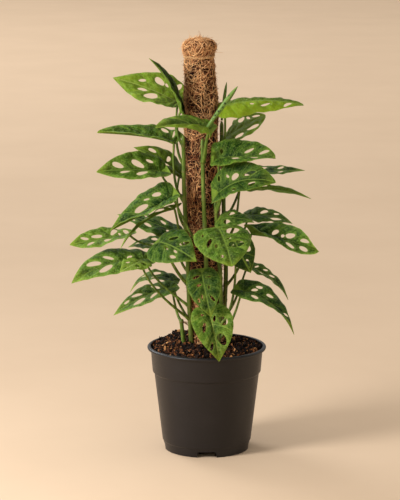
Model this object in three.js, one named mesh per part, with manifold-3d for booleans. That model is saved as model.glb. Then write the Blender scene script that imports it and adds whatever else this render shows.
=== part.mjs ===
// Monstera adansonii climbing a coir pole in a black nursery pot. Millimetres, +Z up. The origin is the
// centre of the pot's underside, on the surface it stands on, and -Y is the front.

import * as THREE from 'three';
import { mergeVertices } from 'three/addons/utils/BufferGeometryUtils.js';
import Module from 'manifold-3d';

const wasm = await Module();
wasm.setup();

// Driving dimensions

const GAP = 0.35; // clearance between pieces that touch

// The pot's outer radii at its foot, under the step in its wall, above it, under the lip and at the rim.
const POT = { foot: 60.5, below: 75, above: 77.4, lip: 80, rim: 85, height: 150, wall: 1.6, sides: 28 };
const FLOOR = { height: 11.5, radius: 60.6, padRadius: 12, padHeight: 2 };
const STEP = { height: 111.5, rise: 2 }; // where the pot's wall widens
const NOTCH = { width: 27, height: 8.5, depth: 12, count: 4 };
const DRAIN = { radius: 5, ring: 40, sides: 6, count: 6 };
const SOIL = { edge: 145, radius: 78, crown: 9, rings: 4, bump: 1.6 };
const HEAP = { at: [-38, 50], height: 6, spread: 24 };
const POLE = { foot: [0, 0, 150], head: [-10.8, 0, 590], radius: 23.2, buried: 45, coreRadius: 9,
  coreCover: 15 };
// The sleeve's shape: how deep and over what height the twine draws it in, and its rounded cap's height,
// the slope of the cap's sides and how far the cap draws in.
const SLEEVE = { waist: 3.4, waistHeight: 7, cap: 12, capCurve: 12.6, capDepth: 23, sides: 16 };
const TIE = { below: 27, radius: 1.3, clear: 0.6, knot: 2.4, knotClear: 2.6 };
const VINE = { foot: 3.4, head: 2.7, buried: 24 };
const STALK = { foot: 2.1, head: 1.4, clear: 0.6 };
const BLADE = { thickness: 0.8, rib: 0.9, wave: 1.2, waves: 2.3, sideShift: 0.31, clear: 0.012,
  halfShape: 0.28 };
// Side veins: where the first leaves the midrib and meets the margin, how far along the midrib the rest are
// spread, and how much they bend forwards.
const VEIN = { root: 0.06, spread: 0.84, end: 0.36, bend: 1.4, middle: 0.5 };
// A window between two side veins, in shares of the panel: how far out its middle is (in the panel at the
// stalk, in the next ones and in the one at the tip), how far across, and its half size.
const RULED = { out: { first: 0.56, next: 0.52, last: 0.42 }, across: { first: 0.62, next: 0.5 }, half: 0.27,
  lastSize: 0.7, corners: 5 };
const OVAL = { longest: 8, fewCorners: 6, corners: 8 }; // a window longer than longest has more corners

// The climbing stems, from the soil up, each a list of points beside the pole.
const VINES = {
  left_low: [[-33, -8, 150], [-36, -8, 190]],
  left: [[-22, -15, 150], [-25, -16, 215], [-28, -14, 290], [-32, -15, 390], [-33, -17, 455]],
  left_back: [[-23, 20, 150], [-25, 19, 250], [-26, 20, 350], [-28, 20, 440], [-31, 18, 465]],
  front: [[2, -31, 150], [1, -31, 220], [-2, -30, 300], [-5, -30, 380], [-6, -31, 452]],
  right_front: [[16, -25, 150], [20, -22, 220], [16, -24, 290], [12, -27, 362]],
  right_back: [[24, 15, 150], [27, 12, 250], [24, 11, 350], [21, 12, 440], [21, 17, 470]],
  back: [[3, 31, 150], [0, 31, 250], [-4, 31, 350], [-8, 31, 450]],
};

// One entry a leaf: the vine it grows on, the height where its stalk leaves the vine, the blade's junction
// with the stalk, its tip, its width, the way its upper face looks, and its form. arch and sweep bend the
// midrib up and sideways, most at the share of its length that bend gives, and twist turns the blade about
// it by the tip. fold lifts the halves to a V and droop turns the margins down. full is the power that its
// outline is drawn to, below 1 for a fuller blade and above 1 for a slimmer one. cells is the number of
// panels between side veins on each half.
const LEAVES = {
  left_1: { vine: 'left_back', from: 400, base: [-41, 24, 495], tip: [-134, 57, 527], width: 87,
    face: [1, -2, 10], arch: 4, fold: -1, droop: -19, twist: -36, bend: 0.38, full: 1.08,
    cells: 4, young: true },
  left_2: { vine: 'left', from: 440, base: [-36, -14, 487], tip: [-80, -40, 565], width: 44,
    face: [86, -12, 50], arch: 6, fold: 20, droop: 0, cells: 4 },
  left_3: { vine: 'left', from: 360, base: [-46, -8, 442], tip: [-154, -9, 457], width: 57,
    face: [0, -2, 10], arch: 3, fold: 29, droop: -10, twist: 2, bend: 0.29, sweep: 3, full: 0.53,
    cells: 4 },
  left_4: { vine: 'left', from: 366, base: [-64, -20, 403], tip: [-154, -39, 406], width: 58,
    face: [0, -4, 9], arch: 5, fold: 28, droop: -11, twist: -38, sweep: -2, full: 0.82, cells: 4 },
  left_5: { vine: 'left_back', from: 310, base: [-38, 22, 392], tip: [-104, 36, 430], width: 54,
    face: [3, -1, 9], arch: 6, fold: 15, droop: 2, twist: -32, sweep: 1, full: 1.19, cells: 4 },
  left_6: { vine: 'front', from: 290, base: [-48, -36, 370], tip: [-135, -48, 325], width: 59,
    face: [-3, -6, 8], arch: 0, fold: 48, droop: -9, twist: 20, sweep: -2, full: 0.88, cells: 4 },
  left_7: { vine: 'left', from: 290, base: [-46, -4, 349], tip: [-121, -50, 299], width: 36,
    face: [-64, 15, 76], arch: 10, fold: 20, droop: 0, cells: 4 },
  left_8: { vine: 'left', from: 285, base: [-108, -8, 311], tip: [-194, -7, 297], width: 50,
    face: [0, 0, 10], arch: 1, fold: 19, droop: 0, twist: -54, bend: 0.55, sweep: -2, full: 0.84,
    cells: 4 },
  left_9: { vine: 'left_back', from: 250, base: [-44, 22, 309], tip: [-128, 42, 332], width: 62,
    face: [0, -2, 10], arch: 4, fold: 5, droop: 15, cells: 4 },
  left_10: { vine: 'left', from: 240, base: [-67, -44, 308], tip: [-14, -95, 290], width: 64,
    face: [1, -10, 6], arch: 8, fold: 5, droop: 20, cells: 4 },
  left_11: { vine: 'left', from: 210, base: [-87, -22, 278], tip: [-190, -40, 248], width: 66,
    face: [-1, -2, 10], arch: 11, fold: 23, droop: 14, twist: -29, bend: 0.48, sweep: -1, full: 0.85,
    cells: 5 },
  left_12: { vine: 'left', from: 190, base: [-92, -62, 284], tip: [-120, -100, 276], width: 41,
    face: [-3, -7, 6], arch: 4, fold: 6, droop: 14, twist: 4, sweep: -3, cells: 4, young: true },
  left_13: { vine: 'left_back', from: 230, base: [-62, 34, 292], tip: [-113, 50, 283], width: 40,
    face: [0, -3, 10], arch: 3, fold: 10, droop: 8, cells: 3 },
  left_14: { vine: 'left_back', from: 180, base: [-48, 44, 235], tip: [-111, 57, 215], width: 45,
    face: [1, -1, 10], arch: 15, fold: 12, droop: 3, twist: -9, sweep: -1, full: 1.05, cells: 3 },
  left_15: { vine: 'left_low', from: 186, base: [-50, 4, 233], tip: [-133, 2, 193], width: 43,
    face: [0, -3, 10], arch: 8, fold: 11, droop: 3, twist: -20, bend: 0.52, sweep: -3, full: 1.09,
    cells: 3 },
  front_1: { vine: 'front', from: 420, base: [4, -51, 466], tip: [-70, -106, 477], width: 59,
    face: [1, -4, 9], arch: 4, fold: 21, droop: 20, twist: 11, bend: 0.21, sweep: 7, full: 0.66,
    cells: 4, young: true },
  front_2: { vine: 'front', from: 290, base: [16, -78, 333], tip: [34, -136, 291], width: 79,
    face: [1, -8, 6], arch: 8, fold: 2, droop: 20, twist: 9, bend: 0.56, full: 0.67, cells: 4 },
  front_3: { vine: 'front', from: 200, base: [-7, -54, 266], tip: [6, -82, 208], width: 48,
    face: [0, -9, 4], arch: 6, fold: 10, droop: 10, bend: 0.52, sweep: 1, full: 1.09, cells: 4 },
  front_4: { vine: 'front', from: 168, base: [3, -62, 212], tip: [17, -90, 147], width: 60,
    face: [1, -9, 4], arch: 7, fold: 21, droop: -3, twist: -12, bend: 0.52, full: 1.04,
    cells: 4, young: true },
  right_1: { vine: 'right_front', from: 165, base: [49, -30, 236], tip: [123, -49, 176], width: 53,
    face: [0, -4, 9], arch: 16, fold: 26, droop: 5, twist: -40, sweep: -1, full: 1.09, cells: 4 },
  right_2: { vine: 'right_back', from: 190, base: [58, 20, 261], tip: [117, 22, 211], width: 32,
    face: [2, -1, 3], arch: 9, fold: 18, droop: 0, cells: 3 },
  right_3: { vine: 'right_front', from: 185, base: [40, -34, 306], tip: [62, -35, 262], width: 46,
    face: [-2, -10, 2], arch: 5, fold: 4, droop: 13, twist: 6, bend: 0.47, full: 1.07, cells: 3 },
  right_4: { vine: 'right_back', from: 235, base: [63, -12, 314], tip: [155, -75, 300], width: 48,
    face: [2, 0, 10], arch: 1, fold: 47, droop: -16, twist: 92, bend: 0.52, sweep: -14, full: 0.43,
    cells: 5 },
  right_5: { vine: 'right_back', from: 270, base: [59, 26, 333], tip: [123, 40, 319], width: 42,
    face: [0, -3, 10], arch: 7, fold: 6, droop: 4, twist: 12, bend: 0.47, sweep: 2, full: 0.97, cells: 3 },
  right_6: { vine: 'right_front', from: 280, base: [19, -38, 340], tip: [66, -51, 337], width: 45,
    face: [0, -5, 9], arch: 5, fold: 1, droop: 9, twist: -19, bend: 0.46, sweep: 1, full: 0.93, cells: 3 },
  right_7: { vine: 'right_front', from: 345, base: [17, -48, 378], tip: [95, -74, 397], width: 61,
    face: [0, -6, 8], arch: 12, fold: 21, droop: -16, twist: 15, bend: 0.48, sweep: -3, full: 0.7,
    cells: 5 },
  right_8: { vine: 'right_back', from: 300, base: [46, 8, 374], tip: [147, -7, 363], width: 36,
    face: [0, -1, 10], arch: 6, fold: 14, droop: -1, twist: 4, cells: 3 },
  right_9: { vine: 'right_front', from: 350, base: [15, -34, 424], tip: [95, -53, 427], width: 57,
    face: [0, -6, 8], arch: 2, fold: 32, droop: -8, twist: -15, sweep: -2, full: 0.49, cells: 4 },
  right_10: { vine: 'right_back', from: 380, base: [27, 39, 443], tip: [83, 33, 477], width: 54,
    face: [0, -3, 10], arch: 4, fold: 0, droop: 0, twist: 24, sweep: 6, full: 0.57, cells: 4 },
  right_11: { vine: 'right_back', from: 410, base: [24, -13, 496], tip: [135, -19, 497], width: 52,
    face: [0, -4, 9], arch: 7, fold: 8, droop: 60, twist: -15, sweep: -2, full: 0.52, cells: 5 },
  right_12: { vine: 'right_back', from: 330, base: [53, 30, 395], tip: [140, 41, 396], width: 44,
    face: [0, -1, 10], arch: 1, fold: 8, droop: 4, twist: 9, full: 0.96, cells: 4 },
  back_1: { vine: 'back', from: 400, base: [-8, 42, 470], tip: [-8, 124, 480], width: 44,
    face: [0, 1, 5], arch: 10, fold: 10, droop: 12, cells: 3 },
  back_2: { vine: 'back', from: 330, base: [10, 44, 400], tip: [62, 112, 385], width: 50,
    face: [0, 1, 5], arch: 12, fold: 10, droop: 12, cells: 3 },
  back_3: { vine: 'back', from: 240, base: [-14, 44, 296], tip: [-56, 116, 262], width: 50,
    face: [0, 1, 5], arch: 12, fold: 10, droop: 12, cells: 3 },
  back_4: { vine: 'back', from: 200, base: [18, 44, 280], tip: [52, 110, 246], width: 50,
    face: [0, 1, 5], arch: 14, fold: 10, droop: 12, cells: 3 },
  back_5: { vine: 'back', from: 165, base: [-10, 48, 236], tip: [-18, 124, 200], width: 50,
    face: [0, 1, 5], arch: 14, fold: 10, droop: 12, cells: 3 },
};

// The windows of the blades whose windows show, a list for each blade. For each window they are how far
// along the midrib and how far out from it its middle is, right above 0 and left below, then its length,
// its width, and how many degrees it turns outwards from the midrib. A blade with an empty list has no
// windows, and a blade without a list has one between every two side veins.
const WINDOWS = {
  left_2: [],
  front_1: [],
  left_1: [[47, 22, 17, 11, 30], [20, 31, 18, 9, 100], [68, 11, 11, 5, 135], [35, 22, 8, 4, 40],
    [42, -15, 22, 14, 40], [60, -6, 14, 6, 15]],
  left_3: [[25, 20, 14, 8, 15], [8, 17, 15, 4, 85], [45, -14, 14, 6, 40], [70, -11, 12, 5, 35]],
  left_4: [[34, 9, 19, 9, 30], [62, 7, 17, 7, 20], [16, 15, 11, 5, 20], [30, -12, 20, 9, 30],
    [53, -6, 14, 6, 15]],
  left_5: [[52, 6, 11, 7, 0], [27, 9, 12, 6, 80], [24, -10, 16, 7, 45], [46, -8, 12, 5, 40]],
  left_6: [[46, 8, 20, 9, 0], [17, 15, 14, 6, 20], [33, 16, 8, 3, 15], [24, -13, 16, 7, 45],
    [50, -11, 16, 6, 35]],
  left_8: [[45, 6, 15, 6, 5], [21, 13, 16, 8, 115], [5, 11, 16, 6, 75], [63, 5, 12, 4, 15],
    [14, 6, 7, 3, 75], [30, -11, 12, 9, 115], [54, -8, 12, 6, 30]],
  left_9: [[24, 13, 14, 6, 45], [48, 12, 13, 5, 35], [40, -12, 12, 8, -20], [64, -9, 12, 4, 140],
    [10, -7, 8, 6, 90]],
  left_10: [[44, 14, 10, 5, -25], [24, 6, 12, 4, 15], [42, 5, 8, 3, 10], [22, -12, 14, 6, 45],
    [44, -12, 14, 6, 40]],
  left_11: [[71, 9, 19, 8, 20], [50, 11, 17, 5, 35], [21, 6, 8, 5, -25], [58, -12, 20, 14, 20],
    [26, -12, 16, 7, 45]],
  left_14: [[23, 8, 14, 8, -20], [41, 7, 10, 4, 30], [22, -9, 13, 6, 45], [40, -7, 10, 4, 30]],
  left_15: [[49, 8, 18, 5, 15], [20, 10, 14, 6, 45], [66, 5, 9, 4, 0], [48, -7, 20, 8, 15],
    [26, -8, 14, 7, 40]],
  right_1: [[23, 13, 13, 8, 50], [46, 10, 14, 6, 35], [18, -15, 9, 6, 20], [36, -11, 11, 6, 20],
    [15, -7, 8, 5, 40], [70, -6, 9, 4, 30]],
  right_2: [[20, 7, 10, 4, 45], [38, 6, 10, 4, 35], [37, -5, 10, 4, 25], [25, -8, 8, 4, 35],
    [12, -6, 8, 3, 55]],
  right_4: [[86, 7, 20, 7, 10], [64, 13, 18, 6, 10], [54, -8, 17, 7, 20], [83, -8, 20, 6, 10],
    [30, -8, 11, 6, 40], [42, -5, 6, 4, 30]],
  right_5: [[39, 7, 18, 6, -20], [24, -8, 16, 6, 35], [42, -7, 10, 4, 25]],
  right_7: [[55, 11, 13, 8, 115], [31, 19, 8, 5, 50], [30, -9, 12, 8, 25], [50, -9, 17, 5, 10],
    [7, -19, 8, 4, 80], [20, -14, 6, 3, 115]],
  right_9: [[28, 11, 16, 7, 45], [54, 9, 14, 6, 35], [44, -9, 14, 4, 30], [65, -8, 14, 5, 30],
    [6, -10, 8, 4, 85]],
  right_10: [[43, 12, 18, 6, 0], [23, 16, 13, 8, 0], [31, -17, 14, 10, -35], [54, -6, 12, 4, -25],
    [43, -11, 9, 4, 110]],
  right_11: [[89, 9, 14, 6, 130], [58, 12, 13, 4, -20], [39, 9, 6, 3, 25], [35, -12, 16, 6, 40],
    [65, -12, 16, 6, 40]],
  right_12: [[51, 8, 12, 5, 135], [28, 11, 14, 6, 45], [30, -11, 14, 6, 45], [54, -8, 12, 5, 40]],
  front_2: [[27, 21, 16, 7, 30], [36, 13, 8, 4, 15], [56, 9, 6, 4, 135], [8, 25, 5, 3, 10],
    [39, -14, 21, 13, 85], [10, -17, 22, 14, 120], [27, -6, 8, 3, 95]],
  front_3: [[36, 5, 10, 4, -10], [6, 9, 11, 4, 70], [18, 7, 8, 4, 65], [39, 11, 6, 3, 0],
    [8, -8, 7, 3, 90], [23, -6, 6, 3, 0], [40, -8, 10, 4, 30]],
  front_4: [[23, 13, 16, 6, 30], [5, 12, 6, 3, 75], [50, 8, 12, 5, 25], [42, -9, 19, 11, 25],
    [18, -16, 15, 10, 30], [12, -5, 9, 4, -25]],
};

// New leaves that are still rolled up, each a slim spindle: one on the front leaf's junction, one on a
// stem.
const ROLLED = {
  front: { base: [1, -54, 471], tip: [42, -59, 528], radius: 3.4 },
  right: { base: [21, 17, 471], tip: [28, 19, 525], radius: 2.2 },
};

// Half the outline of a blade, from the stalk round the lobe to the tip: along the midrib in blade lengths,
// and out from it in half widths.
const OUTLINE = [[0.01, 0.03], [-0.06, 0.2], [-0.09, 0.48], [-0.05, 0.74], [0.07, 0.94], [0.23, 1], [0.42, 0.93],
  [0.61, 0.73], [0.78, 0.44], [0.91, 0.16], [1, 0]];

const COLOURS = {
  pot: { color: 0x35302d, roughness: 0.55, metalness: 0 },
  soil: { color: 0x3a2418, roughness: 0.95, metalness: 0 },
  core: { color: 0x8f6f47, roughness: 0.8, metalness: 0 },
  coir: { color: 0x7d5234, roughness: 1, metalness: 0 },
  twine: { color: 0xb48a5c, roughness: 0.95, metalness: 0 },
  stem: { color: 0x4f7a25, roughness: 0.5, metalness: 0 },
  leaf: { color: 0x3d6b1f, roughness: 0.42, metalness: 0 },
  young: { color: 0x7ba648, roughness: 0.42, metalness: 0 },
};

// Small tools

const vector = (point) => new THREE.Vector3(...point);
const lerp = THREE.MathUtils.lerp;
const radians = THREE.MathUtils.degToRad;
const UP = new THREE.Vector3(0, 0, 1);

// The cosine and sine of evenly spaced angles all the way round.
function corners(count) {
  return Array.from({ length: count }, (_, k) => {
    const angle = (2 * Math.PI * (k + 0.5)) / count;
    return [Math.cos(angle), Math.sin(angle)];
  });
}

// The same value between 0 and 1 for the same whole number, every time.
function chance(number) {
  const wave = Math.sin(number * 12.9898) * 43758.5453;
  return wave - Math.floor(wave);
}

function toSolid(geometry) {
  const bare = geometry.clone();
  bare.deleteAttribute('normal');
  bare.deleteAttribute('uv');
  const merged = mergeVertices(bare, 1e-4);
  const vertProperties = new Float32Array(merged.attributes.position.array);
  const triVerts = new Uint32Array(merged.index.array);
  return new wasm.Manifold(new wasm.Mesh({ numProp: 3, vertProperties, triVerts }));
}

function toGeometry(solid) {
  const { vertProperties, triVerts } = solid.getMesh();
  const geometry = new THREE.BufferGeometry();
  geometry.setAttribute('position', new THREE.BufferAttribute(vertProperties, 3));
  geometry.setIndex(new THREE.BufferAttribute(triVerts, 1));
  geometry.computeVertexNormals();
  return geometry;
}

function cut(geometry, tools) {
  return toGeometry(tools.reduce((solid, tool) => solid.subtract(toSolid(tool)), toSolid(geometry)));
}

function join(geometries) {
  const [first, ...rest] = geometries.map(toSolid);
  return toGeometry(rest.reduce((solid, other) => solid.add(other), first));
}

// A body of revolution about Z. The profile is [radius, height], going up the outside and back to the axis.
function turned(profile, sides) {
  const points = profile.map(([radius, height]) => new THREE.Vector2(radius, height));
  return new THREE.LatheGeometry(points, sides).rotateX(Math.PI / 2);
}

// An upright cylinder on the Z axis, between two heights.
function post(radius, from, to, sides = 12) {
  const cylinder = new THREE.CylinderGeometry(radius, radius, to - from, sides).rotateX(Math.PI / 2);
  return cylinder.translate(0, 0, (from + to) / 2);
}

// A tube along a curve, its radius going from the foot's to the head's by the share of the way along.
function taperedTube(curve, steps, radiusAt, sides) {
  const section = new THREE.Shape();
  for (let i = 0; i < sides; i += 1) {
    const angle = (2 * Math.PI * i) / sides;
    section.lineTo(Math.cos(angle), Math.sin(angle));
  }
  const tube = new THREE.ExtrudeGeometry(section, { steps, bevelEnabled: false, extrudePath: curve });
  const centres = curve.getSpacedPoints(steps);
  const position = tube.attributes.position;
  const corner = new THREE.Vector3();
  for (let i = 0; i < position.count; i += 1) {
    corner.fromBufferAttribute(position, i);
    let nearest = 0;
    centres.forEach((centre, k) => {
      if (centre.distanceTo(corner) < centres[nearest].distanceTo(corner)) nearest = k;
    });
    corner.sub(centres[nearest]).multiplyScalar(radiusAt(nearest / steps)).add(centres[nearest]);
    position.setXYZ(i, corner.x, corner.y, corner.z);
  }
  return tube;
}

// The pot

// The inside wall's [radius, height], down from under the lip to the floor.
const potInside = [
  [POT.above - POT.wall, STEP.height + STEP.rise + 0.5],
  [POT.below - POT.wall, STEP.height - 1],
  [FLOOR.radius, FLOOR.height],
];

function potProfile() {
  const { height, rim } = POT;
  const { padRadius, padHeight } = FLOOR;
  const ceiling = FLOOR.height - 2;
  const under = [[0, 0], [padRadius - 0.5, 0], [padRadius + 1.5, ceiling],
    [POT.foot - 5.5, ceiling], [POT.foot - 3.7, 0]];
  const foot = [[POT.foot, 0], [POT.foot + 1.5, 12], [POT.foot + 2.9, 13.4]];
  const body = [[POT.below, STEP.height], [POT.above, STEP.height + STEP.rise], [POT.lip, height - 4.8]];
  const lip = [[rim - 0.6, height - 4.2], [rim, height - 1.6], [rim - 1.8, height], [POT.lip + 0.2, height]];
  const pad = [[padRadius, FLOOR.height], [padRadius - 2, padHeight], [0, padHeight]];
  return [...under, ...foot, ...body, ...lip, ...potInside, ...pad];
}

function makePot() {
  const notches = Array.from({ length: NOTCH.count }, (_, i) => {
    const block = new THREE.BoxGeometry(NOTCH.width, NOTCH.depth, 2 * NOTCH.height);
    return block.translate(0, -POT.foot, 0).rotateZ((i * 2 * Math.PI) / NOTCH.count);
  });
  const drains = Array.from({ length: DRAIN.count }, (_, i) => {
    const angle = (2 * Math.PI * (i + 0.5)) / DRAIN.count;
    const hole = post(DRAIN.radius, FLOOR.height - 5, FLOOR.height + 5, DRAIN.sides);
    return hole.translate(DRAIN.ring * Math.cos(angle), DRAIN.ring * Math.sin(angle), 0);
  });
  return cut(turned(potProfile(), POT.sides), [...notches, ...drains]);
}

// The pole: a wooden core in a coir sleeve, leaning a little to the left

const poleAxis = vector(POLE.head).sub(vector(POLE.foot)).normalize();
const poleTurn = new THREE.Quaternion().setFromUnitVectors(UP, poleAxis);
const poleLength = vector(POLE.foot).distanceTo(vector(POLE.head));

function onPole(geometry) {
  return geometry.applyQuaternion(poleTurn).translate(...POLE.foot);
}

// The sleeve's radius: bulging at the head, drawn in under the twine, and lumpy with matted fibre.
function sleeveRadius(height, angle) {
  const fromHead = poleLength - height;
  const waist = SLEEVE.waist * Math.exp(-(((fromHead - TIE.below) / SLEEVE.waistHeight) ** 2));
  const inCap = fromHead < SLEEVE.cap;
  const capRise = (SLEEVE.cap - fromHead) / SLEEVE.capCurve;
  const dome = inCap ? SLEEVE.capDepth * (1 - Math.sqrt(1 - capRise ** 2)) : 0;
  const lumps = 0.7 * Math.sin(3 * angle + height / 17) + 0.55 * Math.sin(5 * angle - height / 9)
    + 0.5 * Math.sin(height / 13);
  return POLE.radius - waist - dome + (fromHead > SLEEVE.cap ? lumps : 0);
}

function makeSleeve() {
  const bottom = -POLE.buried;
  const heights = [bottom];
  for (let height = 0; height < poleLength - 70; height += 36) heights.push(height);
  [58, 44, 34, 27, 20, 12, 7, 3.5, 1.2, 0].forEach((fromHead) => heights.push(poleLength - fromHead));
  const wall = heights.map((height) => [POLE.radius, height]);
  const sleeve = turned([[0, bottom], ...wall, [0, poleLength]], SLEEVE.sides);
  const position = sleeve.attributes.position;
  for (let i = 0; i < position.count; i += 1) {
    const [x, y, height] = [position.getX(i), position.getY(i), position.getZ(i)];
    const scale = sleeveRadius(height, Math.atan2(y, x)) / POLE.radius;
    position.setXY(i, x * scale, y * scale);
  }
  const bore = post(POLE.coreRadius + GAP, bottom - 5, poleLength - POLE.coreCover, 12);
  return onPole(cut(sleeve, [bore]));
}

function makeCore() {
  const bottom = FLOOR.height + GAP + 1 - POLE.foot[2];
  return onPole(post(POLE.coreRadius, bottom, poleLength - POLE.coreCover - GAP, 12));
}

// The twine round the sleeve's waist, tied at the back.
function makeTie() {
  const height = poleLength - TIE.below;
  const ring = new THREE.TorusGeometry(POLE.radius, TIE.radius, 4, SLEEVE.sides);
  const position = ring.attributes.position;
  for (let i = 0; i < position.count; i += 1) {
    const [x, y, lift] = [position.getX(i), position.getY(i), position.getZ(i)];
    const angle = Math.atan2(y, x);
    const middle = sleeveRadius(height, angle) + TIE.radius + GAP + TIE.clear;
    const radius = middle + Math.hypot(x, y) - POLE.radius;
    position.setXYZ(i, radius * Math.cos(angle), radius * Math.sin(angle), height + lift + Math.sin(angle));
  }
  const back = sleeveRadius(height, Math.PI / 2) + TIE.knotClear;
  const knot = new THREE.IcosahedronGeometry(TIE.knot, 0).translate(1, back + 1, height + 1);
  return onPole(join([ring, knot]));
}

// The soil, filled almost to the rim and heaped at the back left, with a plain hole round each stem and the
// pole

function soilHeight(x, y) {
  const { edge, radius, crown, bump } = SOIL;
  const fromHeap = Math.hypot(x - HEAP.at[0], y - HEAP.at[1]) / HEAP.spread;
  const bumps = Math.sin(x / 5.1 + 1.3 * Math.sin(y / 7)) * Math.cos(y / 4.7 + x / 11);
  const dome = crown * (1 - (x * x + y * y) / radius ** 2);
  return edge + dome + HEAP.height * Math.exp(-fromHeap * fromHeap) + bump * bumps;
}

function makeSoil() {
  const { edge, radius, rings } = SOIL;
  const { padRadius, padHeight } = FLOOR;
  const padTop = padHeight + GAP;
  const pad = [[0, padTop], [padRadius - 2 - GAP, padTop], [padRadius - GAP, FLOOR.height + GAP]];
  const side = potInside.map(([r, z]) => [r - GAP, z + GAP]).reverse();
  const top = Array.from({ length: rings + 1 }, (_, i) => [radius * 0.97 * (1 - i / rings), edge + 1]);
  const soil = turned([...pad, ...side, [radius, edge], ...top], POT.sides);
  const position = soil.attributes.position;
  for (let i = 0; i < position.count; i += 1) {
    const [x, y] = [position.getX(i), position.getY(i)];
    if (position.getZ(i) > edge + 0.5) position.setZ(i, soilHeight(x, y));
  }
  const above = edge + 60;
  const holes = Object.values(VINES).map(([[x, y, z]]) => {
    const hole = post(VINE.foot + 1.3, z - VINE.buried - 1, above, 8);
    return hole.translate(x, y, 0);
  });
  const sleeveHole = onPole(post(POLE.radius + 2.2, -POLE.buried - GAP, above - POLE.foot[2], 18));
  const coreHole = onPole(post(POLE.coreRadius + GAP + 0.2, FLOOR.height + GAP - 160, 10, 12));
  return cut(soil, [...holes, sleeveHole, coreHole]);
}

// The blades. reach is how far along the midrib in blade lengths, out is how far from it in half widths,
// and side is 1 on the right and -1 on the left.

function bladeFrame(leaf) {
  const base = vector(leaf.base);
  const tip = vector(leaf.tip);
  const along = tip.clone().sub(base).normalize();
  const face = vector(leaf.face);
  const up = face.addScaledVector(along, -face.dot(along)).normalize();
  const across = along.clone().cross(up);
  const middle = base.clone().lerp(tip, leaf.bend ?? 0.5);
  middle.addScaledVector(up, 2 * leaf.arch).addScaledVector(across, 2 * (leaf.sweep ?? 0));
  return { base, middle, tip, up };
}

function bladePoint(leaf, frame, reach, out, side) {
  const { base, middle, tip, up } = frame;
  const back = 1 - reach;
  const point = base.clone().multiplyScalar(back * back);
  point.addScaledVector(middle, 2 * back * reach).addScaledVector(tip, reach * reach);
  const tangent = middle.clone().sub(base).multiplyScalar(back);
  tangent.addScaledVector(tip.clone().sub(middle), reach).normalize();
  const normal = up.clone().addScaledVector(tangent, -up.dot(tangent)).normalize();
  normal.applyAxisAngle(tangent, radians((leaf.twist ?? 0) * reach));
  const right = tangent.clone().cross(normal);
  const halfWidth = leaf.width / 2;
  const fold = radians(leaf.fold);
  const bend = (fold + radians(leaf.droop) + 0.001) / halfWidth;
  const turn = fold - bend * out * halfWidth;
  const sideways = (Math.sin(fold) - Math.sin(turn)) / bend;
  const lift = (Math.cos(turn) - Math.cos(fold)) / bend;
  const ripple = Math.sin(2 * Math.PI * (BLADE.waves * reach + leaf.seed + BLADE.sideShift * side));
  const wave = BLADE.wave * out * out * ripple;
  return point.addScaledVector(right, side * sideways).addScaledVector(normal, lift + wave);
}

function bladeNormal(leaf, frame, reach, out, side) {
  const step = 0.01;
  const ahead = bladePoint(leaf, frame, reach + step, out, side);
  const behind = bladePoint(leaf, frame, reach - step, out, side);
  const outer = bladePoint(leaf, frame, reach, out + step, side);
  const inner = out > 0 ? bladePoint(leaf, frame, reach, out - step, side)
    : bladePoint(leaf, frame, reach, step, -side);
  return outer.sub(inner).cross(ahead.sub(behind)).multiplyScalar(side).normalize();
}

const inShape = ([reach, out]) => new THREE.Vector2(reach, BLADE.halfShape * out);
const outlineCurve = new THREE.SplineCurve(OUTLINE.map(inShape));

// The point where a share of the half outline has been walked, from the stalk round the lobe to the tip.
function marginPoint(leaf, share) {
  const point = outlineCurve.getPointAt(share);
  return [point.x, Math.max(0, point.y / BLADE.halfShape) ** (leaf.full ?? 1)];
}

// Side vein number i runs from the midrib, forwards and out to the margin. Number 0 is the stalk and the
// last is the tip.
function veinRoot(i, cells) {
  if (i === 0) return 0;
  return i === cells ? 1 : VEIN.root + (VEIN.spread * (i - 1)) / cells;
}

function veinEnd(i, cells) {
  return i === 0 ? 0 : lerp(VEIN.end, 1, (i - 1) / (cells - 1));
}

function veinPoint(leaf, i, out) {
  const root = veinRoot(i, leaf.cells);
  const [reach, width] = marginPoint(leaf, veinEnd(i, leaf.cells));
  return [lerp(root, reach, out ** VEIN.bend), width * out];
}

// The outline of the panel between side veins first and last, going along the midrib, out, back along the
// margin, and in. A blade is made of such panels, so a window can cross a side vein that isn't the end of a
// panel.
function panelOutline(leaf, first, last) {
  const { cells } = leaf;
  const [rib, margin] = [[], []];
  for (let i = first; i < last; i += 1) {
    rib.push([veinRoot(i, cells), 0]);
    if (i === cells - 1) rib.push([lerp(veinRoot(i, cells), 1, 0.5), 0]);
  }
  rib.push([veinRoot(last, cells), 0]);
  for (let i = last - 1; i >= first; i -= 1) {
    const steps = i === 0 ? 4 : i === cells - 1 ? 3 : 2;
    for (let k = i === last - 1 && i < cells - 1 ? 0 : 1; k <= steps; k += 1) {
      margin.push(marginPoint(leaf, lerp(veinEnd(i + 1, cells), veinEnd(i, cells), k / steps)));
    }
  }
  if (first === 0) margin.pop();
  const outward = last === cells ? [] : [veinPoint(leaf, last, VEIN.middle)];
  const inward = first === 0 ? [] : [veinPoint(leaf, first, VEIN.middle)];
  return [...rib, ...outward, ...margin, ...inward];
}

// The window between two side veins of a leaf that isn't in WINDOWS, an oval along them.
function ruledWindow(leaf, i, size) {
  const place = i === 0 ? 'first' : 'next';
  const last = i === leaf.cells - 1;
  const middle = last ? RULED.out.last : RULED.out[place];
  const half = RULED.half * size * (last ? RULED.lastSize : 1);
  return corners(RULED.corners).map(([cos, sin]) => {
    const out = middle + half * sin;
    const share = RULED.across[place] + half * cos;
    const [near, far] = [veinPoint(leaf, i, out), veinPoint(leaf, i + 1, out)];
    return [lerp(near[0], far[0], share), lerp(near[1], far[1], share)];
  });
}

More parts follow.
